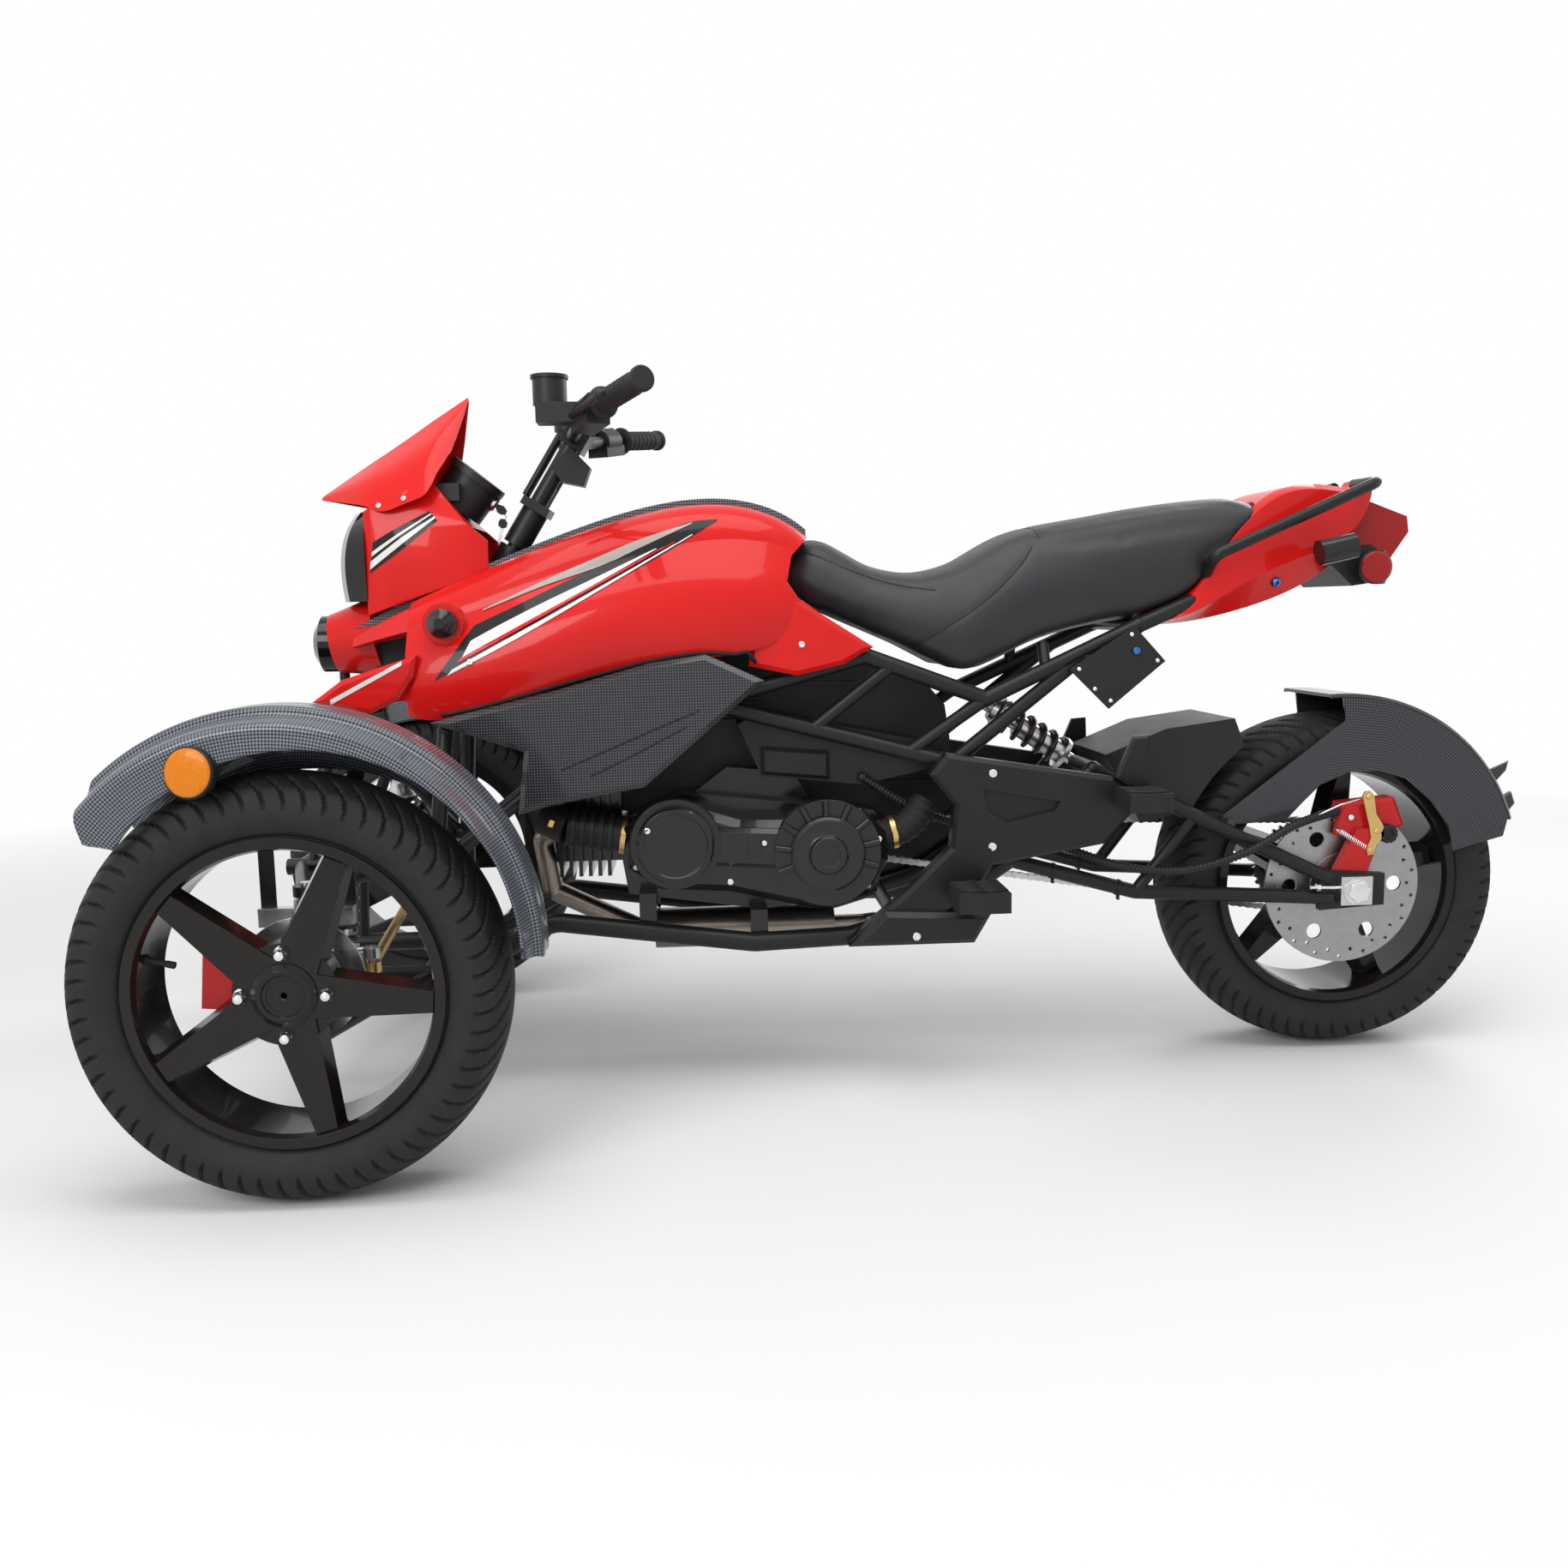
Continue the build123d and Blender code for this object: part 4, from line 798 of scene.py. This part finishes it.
def groove(obj, lines):
    """Presses the seams into the cushion."""
    places = [p for line in lines for p in line]
    tree = KDTree(len(places))
    for index, p in enumerate(places):
        tree.insert(p, index)
    tree.balance()
    normals = [v.normal.copy() for v in obj.data.vertices]
    for v, n in zip(obj.data.vertices, normals):
        gap = tree.find(v.co)[2]
        if gap < SEAM_WIDTH:
            v.co -= n * SEAM_DEPTH * (1 - gap / SEAM_WIDTH) ** 2


SIDE_SEAM = ((966, 763), (1018, 799), (1093, 849), (1153, 906), (1178, 940))
EDGE_SEAM = ((770, 930), (792, 936), (873, 902), (940, 880), (1010, 868))
CROSS_SEAM = 1192
skin = BVHTree.FromObject(cushion, bpy.context.evaluated_depsgraph_get())
seams = []
for sign in (1, -1):
    for outline in (SIDE_SEAM, EDGE_SEAM):
        path = smooth_path([spot(aft, 0, z) for aft, z in outline], 10)
        line = [skin.ray_cast(p + LEFT * sign * 0.4, LEFT * -sign)[0] for p in path]
        seams.append([p for p in line if p])
across = [skin.ray_cast(spot(CROSS_SEAM, y, 1300), -UP)[0] for y in range(-120, 121, 8)]
seams.append([p for p in across if p])
groove(cushion, seams)
skin = BVHTree.FromObject(cushion, bpy.context.evaluated_depsgraph_get())
bm = bmesh.new()
for line in seams:
    tube_along(bm, [skin.find_nearest(p)[0] for p in line], WELT_R, 8)
piece("seat_welt", bm, "grip_rubber")
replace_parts(cushion, "seat")

# Stripe decals laid on the body sides, the nose cowl and the lower blades
LIFT = 0.0009
DECAL_STEPS = 80
DECAL_ROWS = 8


def side_hit(tree, p, sign):
    """Where a line from the side first meets a surface, and the way out of it there."""
    hit, normal, *rest = tree.ray_cast(p, LEFT * -sign)
    if hit and normal.y * sign < 0:
        normal = -normal
    return hit, normal


def decal(name, node, layer, ink, upper, lower):
    """A strip between two lines of (aft, z) places, dropped sideways onto a piece's skin."""
    tree = surface_of(node)
    for end, sign in SIDES:
        top = smooth_path([spot(aft, 0, z) for aft, z in upper], DECAL_STEPS // (len(upper) - 1))
        low = smooth_path([spot(aft, 0, z) for aft, z in lower], DECAL_STEPS // (len(lower) - 1))
        bm = bmesh.new()
        grid = []
        for a, b in zip(top, low):
            line = []
            for k in range(DECAL_ROWS + 1):
                hit, outward = side_hit(tree, a.lerp(b, k / DECAL_ROWS) + LEFT * sign * 0.5, sign)
                line.append(bm.verts.new(hit + outward * LIFT * layer) if hit else None)
            grid.append(line)
        for a, b in zip(grid, grid[1:]):
            for k in range(DECAL_ROWS):
                corners = (a[k], a[k + 1], b[k + 1], b[k])
                if all(corners):
                    bm.faces.new(corners)
        piece(name + "_" + end, bm, "red_paint", material=INK[ink])


STRIPES = (
    # name, node, layer, ink, upper line, lower line
    ("stripe_base", "body_sides", 1, "black",
     ((632, 992), (568, 981), (435, 918), (319, 864), (226, 822)),
     ((632, 989), (540, 934), (430, 874), (300, 805), (160, 733))),
    ("stripe_wedge", "body_sides", 2, "silver",
     ((590, 986), (500, 958), (435, 932), (340, 893), (240, 848)),
     ((590, 984), (500, 944), (435, 915), (340, 884), (240, 846))),
    ("stripe_light", "body_sides", 2, "white",
     ((530, 944), (430, 897), (340, 856), (270, 822), (222, 797)),
     ((530, 942), (430, 887), (340, 838), (270, 800), (205, 765))),
    ("stripe_red", "body_sides", 3, "red",
     ((560, 955), (460, 902), (380, 860), (290, 813), (205, 769)),
     ((560, 953), (460, 898), (380, 855), (290, 807), (200, 761))),
    ("stripe_thin", "body_sides", 2, "white",
     ((590, 967), (480, 905), (380, 850), (290, 803), (190, 751)),
     ((590, 965), (480, 901), (380, 844), (290, 795), (182, 741))),
    ("stripe_nose_base", "nose_cowl", 1, "black",
     ((44, 966), (95, 993), (142, 1017)), ((36, 914), (95, 953), (156, 1001))),
    ("stripe_nose_light", "nose_cowl", 2, "white",
     ((42, 950), (96, 983), (145, 1013)), ((41, 942), (96, 978), (146, 1011))),
    ("stripe_nose_low", "nose_cowl", 2, "white",
     ((39, 934), (96, 973), (151, 1008)), ((37, 920), (96, 962), (153, 1005))),
    ("stripe_blade", "body_sides", 1, "white",
     ((-9, 706), (52, 738), (109, 766)), ((-9, 698), (52, 730), (109, 760))),
)
for row in STRIPES:
    decal(*row)

# Dark seams: the gasket under the body sides and two lines in each side panel
SEAMS = (
    # name, node, radius, places
    ("sill_gasket", "body_sides", 3.5,
     ((165, 670), (288, 699), (430, 727), (519, 752), (608, 762), (690, 746))),
    ("panel_seam_low", "side_panels", 1.6, ((362, 581), (443, 614), (528, 649), (594, 675))),
    ("panel_seam_high", "side_panels", 1.6, ((411, 570), (484, 604), (571, 648))),
)
for name, node, r, places in SEAMS:
    tree = surface_of(node)
    bm = bmesh.new()
    for sign in (1, -1):
        path = smooth_path([spot(aft, sign * 225, z) for aft, z in places], 16)
        tube_along(bm, [tree.find_nearest(p)[0] for p in path], r * MM, 8)
    piece(name, bm, "grip_rubber")

# Black liners, which close the view through the nose and past the engine: partly real black liners, partly
# painted shade for the shaded hollows inside the body
NOSE_LINER_AND_SHADE = ((40, 842), (120, 850), (142, 800), (134, 745), (70, 722), (30, 742), (20, 790))
BAY_LINER_AND_SHADE = (
    (445, 480), (450, 610), (500, 668), (590, 735), (680, 772), (800, 775), (900, 752), (985, 730),
    (1045, 660), (1054, 600), (1056, 470), (1010, 430), (880, 430), (700, 440),
)
NOSE_HALF = 48
BAY_HALF = 14
BAY_RIBS = ((540, 700, 640), (540, 720, 672), (600, 880, 704), (900, 1030, 520), (900, 1030, 550))
bm = bmesh.new()
slab(bm, NOSE_LINER_AND_SHADE, -NOSE_HALF, NOSE_HALF)
slab(bm, BAY_LINER_AND_SHADE, -BAY_HALF, BAY_HALF)
for first, last, z in BAY_RIBS:
    for y in (BAY_HALF, -BAY_HALF):
        rib(bm, spot(first, y, z), spot(last, y, z), LEFT * (y / BAY_HALF), 0.006, 0.007)
# The black of these sheets is in part painted shade, standing in for the shade inside the nose and round the
# engine
piece("liners_and_painted_shade", bm, "black_plastic", edge=CREASE)

# Turned discs on the belt cover
COVER_Y = 183.5
COVER_DISCS = (
    # aft, z, profile
    (547, 442, (
        (0, 0.0665), (0.0145, 0.0665), (0.0185, 0.0625), (0.0185, 0.056), (0.0168, 0.054), (0.0168, 0.004),
    )),
    (809, 420, (
        (0, 0.0645), (0.017, 0.0645), (0.0215, 0.06), (0.0215, 0.038), (0.0235, 0.034), (0.0265, 0.033),
        (0.0295, 0.03), (0.0295, 0.02), (0.027, 0.018), (0.027, 0.003),
    )),
)
bm = bmesh.new()
for aft, z, profile in COVER_DISCS:
    lathe(bm, spot(aft, COVER_Y, z), LEFT, profile, 72)
piece("cover_discs", bm, "engine_black", edge=CREASE)

# Bolts and screws, each where a line from the side meets its node
BOLTS = {
    # node: aft, z, radius
    "body_sides": ((221, 763, 6), (770, 780, 6)),
    "foot_brackets": ((1095, 553, 8), (1094, 425, 8), (958, 275, 8)),
    "visor": ((58, 1027, 5), (102, 1038, 5)),
    "belt_cover": ((500, 470, 6), (700, 440, 5), (900, 440, 6), (640, 372, 6), (880, 356, 6), (478, 402, 6)),
}
INNERMOST = 0.09
bm = bmesh.new()
for node, rows in BOLTS.items():
    tree = surface_of(node)
    for aft, z, r in rows:
        for sign in (1, -1):
            hit, way = side_hit(tree, spot(aft, sign * 400, z), sign)
            if hit and abs(hit.y) > INNERMOST:
                socket_bolt(bm, hit - way * 0.0005, way, r * MM)
piece("body_bolts", bm, "steel", material=CHROME, edge=CREASE)

# Blue bolts on the tail and the plate, rivets on the plate
TAIL_BOLT = (1624, 872)
PLATE_BOLT = (1352, 757)
PLATE_Y = 172
RIVETS = ((1252, 727), (1344, 785), (1390, 739), (1308, 671), (1280, 692))
bm = bmesh.new()
tree = surface_of("tail_cowl")
for sign in (1, -1):
    socket_bolt(bm, *side_hit(tree, spot(TAIL_BOLT[0], sign * 400, TAIL_BOLT[1]), sign), 0.009)
socket_bolt(bm, spot(PLATE_BOLT[0], PLATE_Y, PLATE_BOLT[1]), LEFT, 0.007)
piece("blue_bolts", bm, None, material=BLUE_METAL, edge=CREASE)
bm = bmesh.new()
for aft, z in RIVETS:
    lathe(bm, spot(aft, PLATE_Y, z), LEFT, ((0, 0.0042), (0.0012, 0.0038), (0.0024, 0.0016)), 16)
piece("plate_rivets", bm, "steel", material=CHROME)

# Shocks: damper bodies and helical springs
SHOCKS = (
    # name, lower end, upper end, spring start, spring end, turns, node
    ("front_left", (0, 320, 209), (0, 222, 566), 0.28, 0.8, 8.5, "front_shocks"),
    ("front_right", (0, -320, 209), (0, -222, 566), 0.28, 0.8, 8.5, "front_shocks"),
    ("rear", (1290, 0, 548), (1093, 0, 678), 0.12, 0.73, 5.5, "rear_shock"),
)
SPRING_R = 0.0255
WIRE_R = 0.0052
for name, low, high, first, last, turns, node in SHOCKS:
    foot = spot(*low)
    head = spot(*high)
    way = head - foot
    profile = (
        # share of the length, radius
        (0.0, 0.011), (first - 0.03, 0.011), (first - 0.03, 0.029), (first, 0.031), (first + 0.012, 0.031),
        (first + 0.012, 0.02), (0.55, 0.02), (0.55, 0.013), (last - 0.012, 0.013), (last - 0.012, 0.031),
        (last, 0.031), (last + 0.02, 0.024), (last + 0.06, 0.02), (last + 0.06, 0.011), (1.0, 0.011),
    )
    bm = bmesh.new()
    lathe(bm, foot, way, [(way.length * share, r) for share, r in profile], 28)
    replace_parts(piece("shock_damper_" + name, bm, "steel", edge=CREASE), node)
    bm = bmesh.new()
    ends = [foot.lerp(head, share) for share in (first + 0.015, last - 0.015)]
    coil(bm, *ends, SPRING_R, WIRE_R, turns)
    piece("shock_spring_" + name, bm, "shock_black")

# Roller chain, link by link
PITCH = 15.875
CHAIN_Y = -104.0
DRIVE = (930.0, 395.0)
DRIVE_R = PITCH / 2 / math.sin(math.pi / 15)
AXLE = (1770.0, 315.0)
DRIVEN_R = PITCH / 2 / math.sin(math.pi / 36)
PLATE_R = 6.2
PLATE_WAIST = 4.4
PLATE_T = 1.5
INNER_PLATE = 4.6
OUTER_PLATE = 6.2


def chain_loop():
    """Places of the chain's pins, as (aft, z), round both sprockets."""
    run = math.hypot(AXLE[0] - DRIVE[0], AXLE[1] - DRIVE[1])
    slope = math.atan2(AXLE[1] - DRIVE[1], AXLE[0] - DRIVE[0])
    lean = math.asin((DRIVEN_R - DRIVE_R) / run)
    up = slope + math.pi / 2 + lean
    low = slope - math.pi / 2 - lean
    path = [(DRIVE, DRIVE_R, up)]
    for k in range(41):
        path.append((AXLE, DRIVEN_R, up + (low - up) * k / 40))
    for k in range(41):
        path.append((DRIVE, DRIVE_R, low + (up - 2 * math.pi - low) * k / 40))
    outline = [Vector((c[0] + r * math.cos(t), c[1] + r * math.sin(t))) for c, r, t in path]
    lengths = [(b - a).length for a, b in zip(outline, outline[1:])]
    count = 2 * round(sum(lengths) / PITCH / 2)
    step = sum(lengths) / count
    pins = []
    travelled = 0.0
    for a, b, length in zip(outline, outline[1:], lengths):
        while len(pins) < count and len(pins) * step <= travelled + length:
            pins.append(a.lerp(b, (len(pins) * step - travelled) / max(length, 1e-6)))
        travelled += length
    return pins


def link_plate(bm, a, b, y0, y1):
    """A waisted side plate round two pins."""
    along = (b - a).normalized()
    across = Vector((-along.y, along.x))
    half = (b - a).length / 2
    mid = (a + b) / 2
    corner = []
    for k in range(7):
        turn = -math.pi / 2 + math.pi * k / 6
        corner.append((half + PLATE_R * math.cos(turn), PLATE_R * math.sin(turn)))
    outline = corner + [(0, PLATE_WAIST)] + [(-x, -y) for x, y in corner] + [(0, -PLATE_WAIST)]
    slab(bm, [mid + along * x + across * y for x, y in outline], y0, y1)


bm = bmesh.new()
pins = chain_loop()
for k, (a, b) in enumerate(zip(pins, pins[1:] + pins[:1])):
    inner = INNER_PLATE if k % 2 else OUTER_PLATE
    for sign in (1, -1):
        link_plate(bm, a, b, CHAIN_Y + sign * inner, CHAIN_Y + sign * (inner + PLATE_T))
    lathe(bm, spot(a.x, CHAIN_Y - 4.4, a.y), LEFT, ((0, 0.005), (0.0088, 0.005)), 12)
    lathe(bm, spot(a.x, CHAIN_Y - 8, a.y), LEFT, ((0, 0.0026), (0.016, 0.0026)), 8)
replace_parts(piece("chain_links", bm, "steel", edge=CREASE), "chain")

# Park brake: ribbed cable sleeve, lever, return spring and knob
CABLE = (
    (880, 121, 541), (960, 114, 490), (1060, 100, 448), (1160, 100, 428), (1250, 120, 402),
    (1340, 154, 374), (1450, 157, 364), (1560, 156, 392), (1660, 146, 440), (1752, 108, 456),
)
LEVER = (
    (1786, 484), (1790, 493), (1800, 494), (1807, 486), (1812, 452), (1826, 430), (1828, 412),
    (1816, 396), (1810, 378), (1799, 376), (1796, 386), (1804, 408), (1800, 430), (1794, 452),
)
LEVER_Y = (128, 132)
LEVER_PINS = ((1797, 484), (1814, 420), (1803, 385))
KNOB = (1838, 414)
KNOB_ROWS = ((116, 16), (118, 17.5), (130, 17.5), (132, 16), (132, 9), (129, 8))
path = smooth_path([spot(*p) for p in CABLE], 72)
bm = bmesh.new()
ribbed_tube(bm, path, 0.0068, 0.0017, 5, 12)
lathe(bm, spot(880, 112, 541), LEFT, ((0, 0.009), (0.01, 0.009), (0.012, 0.007)), 20)
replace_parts(piece("cable_sleeve", bm, "black_plastic"), "brake_cable")
bm = bmesh.new()
slab(bm, LEVER, *LEVER_Y)
for aft, z in LEVER_PINS:
    lathe(bm, spot(aft, LEVER_Y[1], z), LEFT, ((0, 0.0055), (0.003, 0.0055), (0.004, 0.004)), 6)
lathe(bm, spot(1814, 116, 420), LEFT, ((0, 0.007), (0.014, 0.007)), 16)
piece("brake_lever", bm, "gold", edge=CREASE)
bm = bmesh.new()
coil(bm, spot(1748, 124, 421), spot(1800, 124, 388), 0.0048, 0.0011, 15)
tube_along(bm, [spot(1742, 118, 425), spot(1748, 124, 421)], 0.0012, 8)
tube_along(bm, [spot(1700, 134, 452), spot(1745, 130, 470), spot(1797, 130, 484)], 0.0016, 8)
lathe(bm, spot(1770, 121, 445), LEFT, ((-0.004, 0.006), (0.003, 0.006), (0.004, 0.004)), 6)
piece("brake_spring", bm, "steel", material=CHROME)
bm = bmesh.new()
rings = []
for y, r in KNOB_ROWS:
    ring = []
    for k in range(48):
        turn = 2 * math.pi * k / 48
        reach = r - (1.2 if k % 4 < 2 and r > 15 else 0)
        ring.append(spot(KNOB[0] + reach * math.cos(turn), y, KNOB[1] + reach * math.sin(turn)))
    rings.append(ring)
rings_to_bmesh(bm, rings)
piece("brake_knob", bm, "black_plastic", edge=CREASE)

# Axle nuts on the rear lugs, and the screws that set the chain
bm = bmesh.new()
for sign in (1, -1):
    aft, z = AXLE
    lathe(bm, spot(aft, sign * 152, z), LEFT * sign, ((0, 0.023), (0.002, 0.023)), 32)
    lathe(bm, spot(aft, sign * 154, z), LEFT * sign, ((0, 0.021), (0.011, 0.021), (0.0125, 0.0185)), 6)
    tube_along(bm, [spot(1690, sign * 141, 322), spot(1746, sign * 141, 320)], 0.0035, 10)
    lathe(bm, spot(1700, sign * 141, 321.6), Vector((-1, 0, 0)), ((0, 0.0075), (0.007, 0.0075)), 6)
piece("axle_nuts", bm, "steel", material=CHROME, edge=CREASE)

# Cable ties on the lower tubes of the swingarm
TIE = ((0, 0.0136), (0, 0.0146), (0.005, 0.0146), (0.005, 0.0136))
SWING_START = (1130, 390)
SWING_RUN = (240, 68)
bm = bmesh.new()
for aft in (1215, 1335):
    z = SWING_START[1] - (aft - SWING_START[0]) * SWING_RUN[1] / SWING_RUN[0]
    for y in (128, -128):
        lathe(bm, spot(aft, y, z), Vector((-SWING_RUN[0], 0, -SWING_RUN[1])), TIE, 24)
        rib(bm, spot(aft + 1, y, z - 14), spot(aft + 6, y, z - 15), -UP, 0.006, 0.009)
piece("cable_ties", bm, "black_plastic")

# Chevron ribs on the pegs
PEGS = (
    # first aft, last aft, inner y, outer y, top z, rows
    (1014, 1096, 232, 322, 370, 8), (1306, 1376, 220, 296, 524, 7),
)
bm = bmesh.new()
for first, last, inner, outer, z, rows in PEGS:
    for sign in (1, -1):
        for k in range(rows):
            y = inner + (outer - inner) * k / rows
            tip = spot((first + last) / 2, sign * (y + 9), z)
            for edge in (first, last):
                rib(bm, spot(edge, sign * y, z), tip, UP, 0.0045, 0.003)
piece("peg_ribs", bm, "grip_rubber")

# Grip flanges and end caps, switch boxes, a bracket and the wiring loom on the stem
GRIP_START = Vector((425, 200, 1165))
GRIP_END = Vector((518, 378, 1187))
FLANGE = ((0, 0.024), (0.003, 0.026), (0.006, 0.024), (0.009, 0.0175))
END_CAP = ((0, 0.0178), (0.003, 0.02), (0.009, 0.02), (0.0115, 0.0175))
GRIP_RING = ((0, 0.0172), (0.002, 0.0186), (0.005, 0.0186), (0.007, 0.0172))
STEM_FOOT = (271, 956)
STEM_WAY = (math.sin(math.radians(32)), math.cos(math.radians(32)))
LOOM_RUN = (92, 120, 150, 180, 212)
BAR_BRACKET = ((348, 1092), (372, 1116), (384, 1124), (416, 1090), (404, 1058), (366, 1066))
flanges = bmesh.new()
boxes = bmesh.new()
for sign in (1, -1):
    start = spot(GRIP_START.x, sign * GRIP_START.y, GRIP_START.z)
    end = spot(GRIP_END.x, sign * GRIP_END.y, GRIP_END.z)
    for share, profile in [(0.3, FLANGE), (1.0, END_CAP)] + [(0.45 + 0.08 * k, GRIP_RING) for k in range(6)]:
        lathe(flanges, start.lerp(end, share), end - start, profile, 32)
    rib(boxes, spot(414, sign * 178, 1152), spot(444, sign * 236, 1162), -UP, 0.042, 0.02)
    rib(boxes, spot(424, sign * 196, 1180), spot(436, sign * 220, 1185), UP, 0.016, 0.008)
slab(boxes, BAR_BRACKET, 26, 66)
for y in (-9, 0, 9):
    path = []
    for d in LOOM_RUN:
        path.append(spot(STEM_FOOT[0] + d * STEM_WAY[0] - 24, y, STEM_FOOT[1] + d * STEM_WAY[1] + 15))
    tube_along(boxes, smooth_path(path, 4), 0.006, 12)
piece("grip_flanges", flanges, "grip_rubber", "steering", edge=CREASE)
piece("bar_fittings", boxes, "black_plastic", "steering", edge=CREASE)

# Ignition lock with its key, and a spare key on the ring
LOCK_WAY = Vector((-0.78, 0, -0.62))
bm = bmesh.new()
lathe(bm, spot(237, 0, 1037), LOCK_WAY, ((-0.006, 0.015), (0.006, 0.015), (0.008, 0.012), (0.009, 0.011)), 28)
tube_along(bm, [spot(254, 0, 1019), spot(259, 0, 1014), spot(259, 0, 1009), spot(255, 0, 1004)], 0.0011, 8)
slab(bm, ((249, 994), (255, 993), (246, 962), (243, 960), (242, 966)), -1, 1)
piece("ignition_lock", bm, "steel", material=CHROME, edge=CREASE)
bm = bmesh.new()
slab(bm, ((242, 1028), (247, 1034), (256, 1031), (261, 1023), (258, 1016), (250, 1016), (244, 1020)), -4, 4)
slab(bm, ((246, 1004), (250, 1009), (257, 1008), (261, 1001), (258, 993), (250, 992), (245, 997)), -4, 4)
piece("ignition_keys", bm, "black_plastic", smooth=False)

# Ribbed duct behind the belt cover, and clamps on it and on the bellows
DUCT = ((905, 132, 440), (940, 132, 447), (968, 128, 466), (990, 118, 496))
CLAMPS = (
    # place, way, radius
    ((452, 130, 453.5), (100, 0, -18), 32.5),
    ((330, 121, 482.5), (42, -12, -18), 32.5),
    ((926, 132, 444), (30, 0, 6), 28.5),
)
path = smooth_path([spot(*p) for p in DUCT], 16)
bm = bmesh.new()
ribbed_tube(bm, path, 0.025, 0.003, 6, 24)
piece("outlet_duct", bm, "grip_rubber")
bm = bmesh.new()
for place, way, r in CLAMPS:
    along = Vector((-way[0], way[1], way[2])).normalized()
    base = spot(*place)
    inside = r * MM
    lathe(bm, base, along, ((0, inside), (0, inside + 0.001), (0.009, inside + 0.001), (0.009, inside)), 40)
    ear = base + Vector((0, inside + 0.0015, 0))
    rib(bm, ear, ear + along * 0.009, LEFT, 0.012, 0.006)
piece("bellows_clamps", bm, "gold", edge=CREASE)

# Stage, lights and camera
CAMERA_PLACE = spot(593.4731, 2506.8448, 843.2416)
CAMERA_YAW = 0.0611
CAMERA_PITCH = 0.1287
CAMERA_ROLL = -0.0189
PHOTO_WIDTH = 1829.0
PHOTO_FOCAL = 1594.487
SENSOR = 36.0
FLOOR_R = 30
FLOOR_COLOUR = (0.86, 0.86, 0.86)
AMBIENT = 0.45
FADE = (1.6, 4.5)


def make_camera():
    data = bpy.data.cameras.new("camera")
    data.sensor_width = SENSOR
    data.lens = PHOTO_FOCAL / PHOTO_WIDTH * SENSOR
    cam = bpy.data.objects.new("camera", data)
    bpy.context.scene.collection.objects.link(cam)
    flat = math.cos(CAMERA_PITCH)
    ahead = Vector((-math.sin(CAMERA_YAW) * flat, -math.cos(CAMERA_YAW) * flat, -math.sin(CAMERA_PITCH)))
    right = ahead.cross(UP).normalized()
    up = right.cross(ahead)
    r = right * math.cos(CAMERA_ROLL) + up * math.sin(CAMERA_ROLL)
    u = up * math.cos(CAMERA_ROLL) - right * math.sin(CAMERA_ROLL)
    turn = Matrix((r, u, -ahead)).transposed()
    cam.matrix_world = Matrix.Translation(CAMERA_PLACE) @ turn.to_4x4()
    bpy.context.scene.camera = cam


def make_floor():
    bm = bmesh.new()
    bmesh.ops.create_circle(bm, cap_ends=True, segments=96, radius=FLOOR_R)
    mesh = bpy.data.meshes.new("floor")
    bm.to_mesh(mesh)
    bm.free()
    floor = bpy.data.objects.new("floor", mesh)
    bpy.context.scene.collection.objects.link(floor)
    f = Finish("pale_floor", FLOOR_COLOUR, 0.7)
    f.mottle(3, 0.01)
    far = f.put("ShaderNodeVectorMath")
    far.operation = "LENGTH"
    f.link(f.place, far.inputs[0])
    fade = f.put("ShaderNodeMapRange")
    fade.inputs["From Min"].default_value, fade.inputs["From Max"].default_value = FADE
    f.link(far.outputs["Value"], fade.inputs["Value"])
    glow = f.put("ShaderNodeEmission", Color=(1, 1, 1, 1), Strength=1.0)
    mix = f.put("ShaderNodeMixShader")
    f.link(fade.outputs["Result"], mix.inputs["Fac"])
    f.link(f.shader.outputs["BSDF"], mix.inputs[1])
    f.link(glow.outputs["Emission"], mix.inputs[2])
    f.link(mix.outputs["Shader"], f.tree.nodes["Material Output"].inputs["Surface"])
    mesh.materials.append(f.mat)


def make_world():
    world = bpy.data.worlds.new("studio")
    bpy.context.scene.world = world
    world.use_nodes = True
    nodes = world.node_tree.nodes
    links = world.node_tree.links
    ambient = nodes["Background"]
    ambient.inputs["Color"].default_value = (1, 1, 1, 1)
    ambient.inputs["Strength"].default_value = AMBIENT
    seen = nodes.new("ShaderNodeBackground")
    seen.inputs["Color"].default_value = (1, 1, 1, 1)
    seen.inputs["Strength"].default_value = 1.0
    path = nodes.new("ShaderNodeLightPath")
    direct = path.outputs["Is Camera Ray"]
    for ray in ("Is Glossy Ray", "Is Transmission Ray"):
        either = nodes.new("ShaderNodeMath")
        either.operation = "MAXIMUM"
        links.new(direct, either.inputs[0])
        links.new(path.outputs[ray], either.inputs[1])
        direct = either.outputs["Value"]
    mix = nodes.new("ShaderNodeMixShader")
    links.new(direct, mix.inputs["Fac"])
    links.new(ambient.outputs["Background"], mix.inputs[1])
    links.new(seen.outputs["Background"], mix.inputs[2])
    links.new(mix.outputs["Shader"], nodes["World Output"].inputs["Surface"])


LAMPS = (
    # name, place, aim, size, watts
    ("top_box", (0.2, 0.9, 3.4), (0, 0, 0.6), (3.4, 2.2), 70),
    ("key_box", (2.2, 3.2, 2.3), (0.1, 0, 0.6), (2.0, 1.6), 60),
    ("rear_box", (-2.6, -2.4, 2.4), (0, 0, 0.6), (2.0, 1.6), 45),
)


def make_lamps():
    for name, place, aim, size, watts in LAMPS:
        data = bpy.data.lights.new(name, "AREA")
        data.shape = "RECTANGLE"
        data.size, data.size_y = size
        data.energy = watts
        lamp = bpy.data.objects.new(name, data)
        bpy.context.scene.collection.objects.link(lamp)
        lamp.location = place
        lamp.rotation_mode = "QUATERNION"
        lamp.rotation_quaternion = (Vector(aim) - Vector(place)).to_track_quat("-Z", "Y")


make_camera()
make_floor()
make_world()
make_lamps()
bpy.context.scene.view_settings.view_transform = "Standard"
